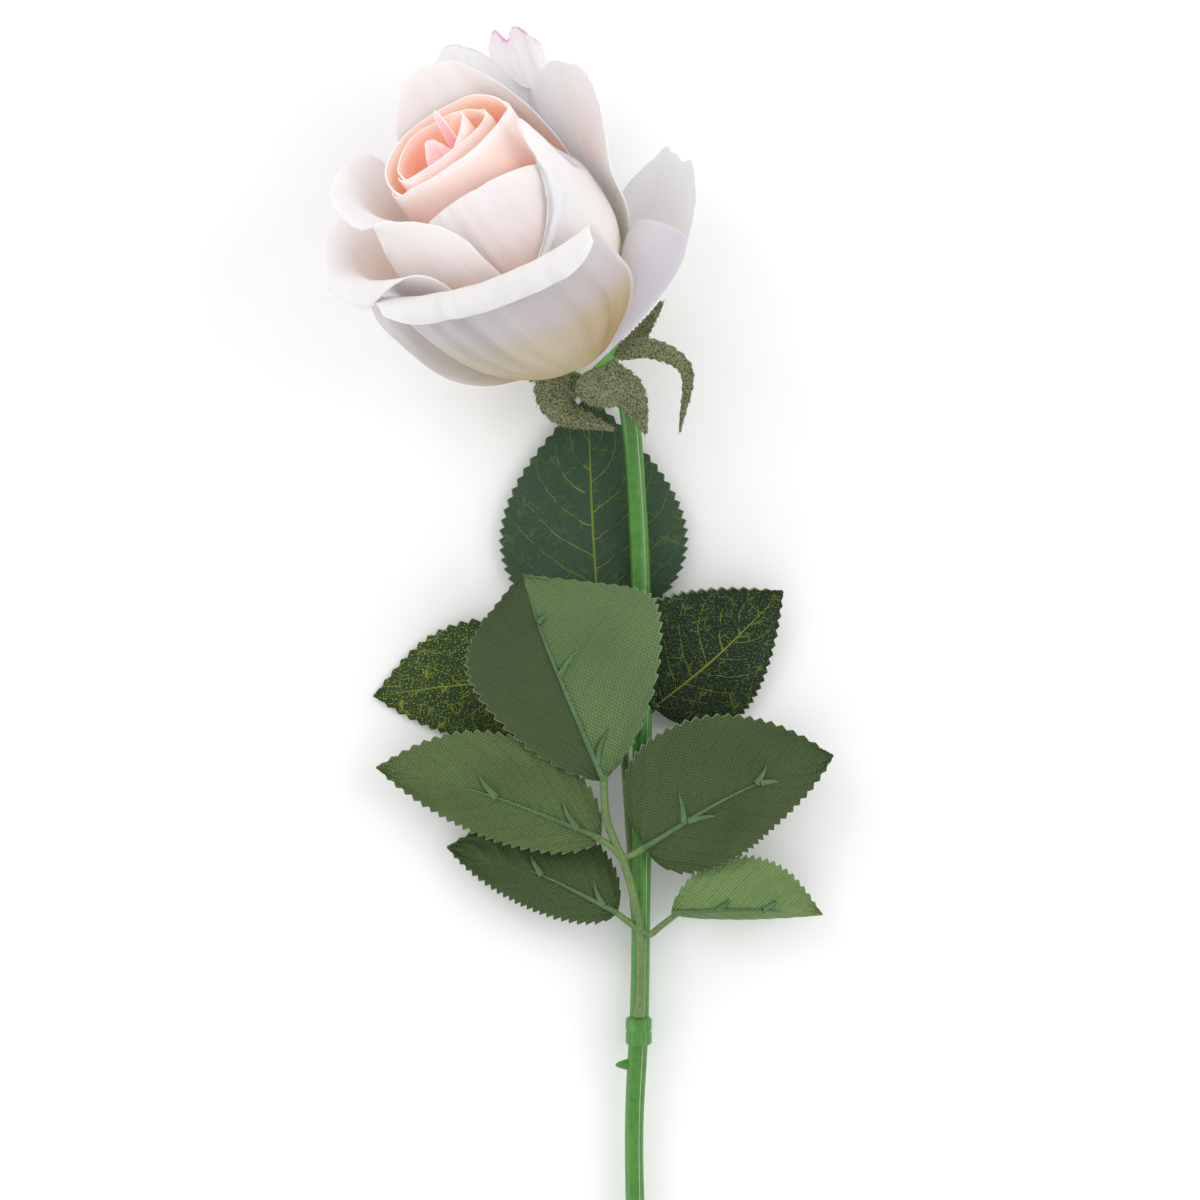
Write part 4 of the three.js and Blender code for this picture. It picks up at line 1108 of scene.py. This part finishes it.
def strip_points(line, halves, drops, facing, outline, u, v, teeth=0, tooth=0.0, relief=0.0, wave=0.0,
                 seed=0):
    rng = np.random.default_rng(seed)
    centre = curve_at(line, v)
    ahead = unit(curve_at(line, np.minimum(v + 1e-3, 1)) - curve_at(line, np.maximum(v - 1e-3, 0)))
    side = unit(np.cross(ahead, np.array(facing, float)))
    lift = unit(np.cross(side, ahead))
    left = u < 0
    out = np.abs(u)
    half = np.where(left, halves[0], halves[1]) * outline(v)
    if teeth:
        saw = (v * teeth) % 1.0
        saw = np.where(saw < 0.75, saw / 0.75, (1 - saw) / 0.25)
        half = half + tooth * (saw - 0.5) * smooth((out - 0.86)
                                                   / 0.14) * smooth(v / 0.06) * smooth((1 - v) / 0.04)
    drop = np.radians(np.where(left, drops[0], drops[1])) * (0.5 + 0.5 * out)
    points = centre + side * (u * half * np.cos(drop))[:,
                                                       None] - lift * (out * half * np.sin(drop))[:, None]
    vein = ((v - 0.34 * out ** 1.25) * 8 + 0.22 * np.sign(u)) % 1.0 - 0.5
    quilt = relief * (np.exp(-(vein / 0.14) ** 2) - 0.45) * smooth(out / 0.12) * smooth((1 - out) / 0.25)
    slow = wave * (np.sin(5.0 * v + 2 * u + rng.uniform(0, 6.28)) + 0.5
                   * np.sin(11 * v - 3 * u + rng.uniform(0, 6.28)))
    slow = slow * smooth(out / 0.5) * smooth(v / 0.15)
    points = points + lift * (quilt + slow)[:, None]
    return points, u * half, evenly(line)[1][-1] * v


def leaf_outline(foot, tip, point=3.5):
    peak = (foot / (foot + tip)) ** foot * (tip / (foot + tip)) ** tip

    def width_at(v):
        body = np.maximum(v ** foot * (1 - v) ** tip / peak, 0.02)
        taper = np.maximum(point * (1 - v), 0.02)
        return (body ** -5 + taper ** -5) ** -0.2
    return width_at


LEAFLETS = {
    "front_leaflet_end": dict(halves=(22, 31), drops=(8, 10), facing=(0, 0, 1),
                              outline=leaf_outline(0.75, 0.6, 2.75),
                              line=[(0.9, -45, 18.6), (-13, -12, 26), (-19.5, 6.4, 23.5)]),
    "front_leaflet_upper_left": dict(halves=(11, 16), drops=(8, 10), facing=(0, -0.15, 1),
                                     outline=leaf_outline(0.55, 0.7),
                                     line=[(0, -59.3, 16.6), (-28, -48.5, 18), (-56, -42, 11)]),
    "front_leaflet_upper_right": dict(halves=(22.5, 15), drops=(12, 10), facing=(0, -0.1, 1),
                                      outline=leaf_outline(0.38, 0.75),
                                      line=[(11, -61.8, 16.8), (34, -48, 21), (58.25, -38.9, 14)]),
    "front_leaflet_lower_left": dict(halves=(9, 15), drops=(8, 12), facing=(0, 0.1, 1),
                                     outline=leaf_outline(0.55, 0.7),
                                     line=[(4.2, -78.2, 13), (-17, -68, 12), (-38.5, -62.3, 6)]),
    "front_leaflet_lower_right": dict(halves=(13.5, 12), drops=(12, 78), facing=(0, -0.1, 1),
                                      outline=leaf_outline(0.6, 0.6),
                                      line=[(18, -78.3, 12.9), (37, -77.5, 15), (55.8, -79, 10)]),
    "rear_leaflet_end": dict(halves=(24, 24), drops=(5, 3), facing=(0, 0, 1),
                             outline=leaf_outline(0.55, 0.8, 2.6),
                             line=[(-0.2, -7, 4.8), (-2, 22, 5.2), (-3, 52, 3.6)]),
    "rear_leaflet_right": dict(halves=(25, 17), drops=(-28, 25), facing=(0, 0, 1),
                               outline=leaf_outline(0.55, 1.0),
                               line=[(13.7, -27, 6.6), (29, -14.5, 9.2), (46, 2.2, 8)]),
    "rear_leaflet_left": dict(halves=(15, 17), drops=(5, 4), facing=(0, 0, 1),
                              outline=leaf_outline(0.6, 0.65),
                              line=[(0.6, -28.6, 2.2), (-28, -21.5, 4.4), (-57.25, -24.25, 1.2)]),
}


def lay_over_stem(points, clear_mm=3.3):
    """Lifts the points that would be inside the stem, so that the leaflet lies across it."""
    line = curve_at(STEM_LINE, np.linspace(0, 1, 600))
    nearest = line[np.argmin(((points[:, None, :2] - line[None, :, :2]) ** 2).sum(axis=2), axis=1)]
    away = np.hypot(*(points - nearest)[:, :2].T)
    top = nearest[:, 2] + np.sqrt(np.maximum(clear_mm ** 2 - away ** 2, 0))
    lifted = points.copy()
    lifted[:, 2] = np.where(away < clear_mm, np.maximum(points[:, 2], top), points[:, 2])
    return lifted


for seed, (name, p) in enumerate(LEAFLETS.items()):
    front = name.startswith("front")
    piece, u, v = start_grid(name + "_cloth", 28, 168)
    points, across_mm, along_mm = strip_points(u=u, v=v, teeth=24, tooth=1.25,
                                               relief=0.6 if front else 0.25, wave=0.4, seed=seed, **p)
    if name == "rear_leaflet_right":
        points = lay_over_stem(points)
    map_cloth(piece, across_mm, along_mm)
    place_points(piece, points)
    thicken(piece, 0.45)
    if front:
        cloths = {"front_leaflet_end": UNDERSIDE_END, "front_leaflet_upper_right": UNDERSIDE_DARK,
                  "front_leaflet_lower_left": UNDERSIDE_DARK,
                  "front_leaflet_lower_right": UNDERSIDE_LIGHT}
        finish(piece, cloths.get(name, UNDERSIDE), [name])
    else:
        cloths = {"rear_leaflet_end": UPPER_FACE, "rear_leaflet_left": UPPER_PALE}
        finish(piece, cloths.get(name, UPPER_SPECKLED), [name])
print("leaflets", len(LEAFLETS))

# %% [markdown]
# Each front leaflet shows the moulded rib that stiffens it, with a few short
# prongs. A rib is a tube laid a little above the leaflet's midline, and it
# thins towards its tip.

# %% Leaf ribs
RIB_SHARES = (0.0, 0.12, 0.28, 0.45, 0.62, 0.78, 0.9)
PRONGS = {
    "front_leaflet_end": (0.86, [(0.06, 0.42, 0.09), (0.38, 0.3, 0.07), (0.64, 0.15, 0.05)]),
    "front_leaflet_upper_left": (0.66, [(0.1, 0.42, 0.1), (0.46, 0.3, 0.1)]),
    "front_leaflet_upper_right": (0.72, [(0.22, -0.36, 0.05), (0.24, 0.2, 0.12), (0.6, -0.22, 0.08),
                                         (0.62, 0.16, 0.09)]),
    "front_leaflet_lower_left": (0.58, [(0.08, 0.42, 0.1), (0.44, 0.28, 0.1)]),
    "front_leaflet_lower_right": (0.8, [(0.3, -0.3, 0.1), (0.6, -0.25, 0.09)]),
}
for name, (reach, prongs) in PRONGS.items():
    p = LEAFLETS[name]

    def on_leaf(u, v, lift=0.35):
        points = strip_points(u=np.array([float(u)]), v=np.array([float(v)]), **p)[0][0]
        return points + (0, 0, lift)

    parts = [tube(name + "_rib_main", [on_leaf(0, reach * s, 0.5) for s in RIB_SHARES],
                  lambda v: 0.8 * (1 - 0.8 * v), sides=10, steps=40)]
    for index, (start, out, length) in enumerate(prongs):
        middle = on_leaf(0.5 * out * 0.9, start + 0.6 * length, 0.4)
        tip = on_leaf(out * 0.9, start + length, 0.25)
        parts.append(tube(f"{name}_prong_{index}", [on_leaf(0, start, 0.5), middle, tip],
                          lambda v: 0.95 * (1 - v) ** 0.7 + 0.06, sides=8, steps=20))
    finish(join(parts, name + "_rib"), RIB_PLASTIC, angle=50)
print("ribs", len(PRONGS))

# %% [markdown]
# Five sepals curl back from the calyx. Their flocking is fibrous, so each has a
# fringe: one small cone is modelled, copied along both margins, and joined.

# %% Sepals and their fringe


def sepal_outline(v):
    return 0.06 + 0.94 * np.minimum(1, 2.6 * v ** 0.5 * (1 - v) ** 1.1)


SEPALS = {
    "sepal_front": dict(halves=(7, 7), drops=(22, 22), facing=(0.15, -0.2, 1),
                        line=[(-0.5, -5, 6), (3, -8.5, 5), (10, -11.5, 0.5), (14, -20.5, -4)]),
    "sepal_left": dict(halves=(6, 6), drops=(22, 22), facing=(0.1, 0.1, 1),
                       line=[(-1.5, -5.5, 2), (-8, -8.5, 1), (-6, -15, -2), (6, -19.5, -4.2)]),
    "sepal_right": dict(halves=(2.6, 2.6), drops=(15, 15), facing=(0.3, 0.3, 1),
                        line=[(6.2, -1.6, 3.8), (14.5, 0.5, 4), (24, -5, 0), (22.5, -20, -6)]),
    "sepal_under_right": dict(halves=(2.6, 2.6), drops=(-8, -8), facing=(0.6, -0.4, -1),
                              line=[(5.6, -1, -5), (12, 4, -8), (18, 12.5, -9.5)]),
    "sepal_under_left": dict(halves=(4.5, 4.5), drops=(-8, -8), facing=(-0.3, 0, -1),
                             line=[(-3, -1, -7.5), (-10, -1.5, -11), (-15, -7, -12.5)]),
}
rng = np.random.default_rng(77)


def fibre(base, towards, length_mm):
    """One fine cone of cloth fibre from a place in the drawing."""
    bpy.ops.mesh.primitive_cone_add(vertices=4, radius1=0.11 * MM, radius2=0.02 * MM,
                                    depth=length_mm * MM)
    piece = bpy.context.object
    turn = Vector(towards).to_track_quat("Z", "Y").to_matrix().to_4x4()
    middle = np.asarray(base) + np.asarray(towards) * length_mm / 2
    piece.data.transform(Matrix.Translation(Vector((middle + SHIFT) * MM)) @ turn)
    return piece


for name, p in SEPALS.items():
    shape = dict(p, line=[tuple(CALYX_BASE + np.array(q)) for q in p["line"]], outline=sepal_outline)
    piece, u, v = start_grid(name + "_flocked", 18, 80)
    points, across_mm, along_mm = strip_points(u=u, v=v, teeth=15, tooth=0.7, wave=0.35, seed=len(name),
                                               **shape)
    map_cloth(piece, across_mm, along_mm)
    place_points(piece, points)
    thicken(piece, 0.6)
    finish(piece, FLOCKED, [name])
    fibres = []
    for v_at in np.linspace(0.12, 0.99, 34):
        for side in (-1.0, 1.0):
            edge = strip_points(u=np.array([side]), v=np.array([v_at]), **shape)[0][0]
            inside = strip_points(u=np.array([side * 0.8]), v=np.array([max(v_at - 0.06, 0)]),
                                  **shape)[0][0]
            towards = unit(edge - inside + rng.normal(0, 0.25, 3))
            fibres.append(fibre(edge, towards, rng.uniform(0.7, 1.7)))
    finish(join(fibres, name + "_fringe"), FLOCKED)
print("sepals", len(SEPALS))
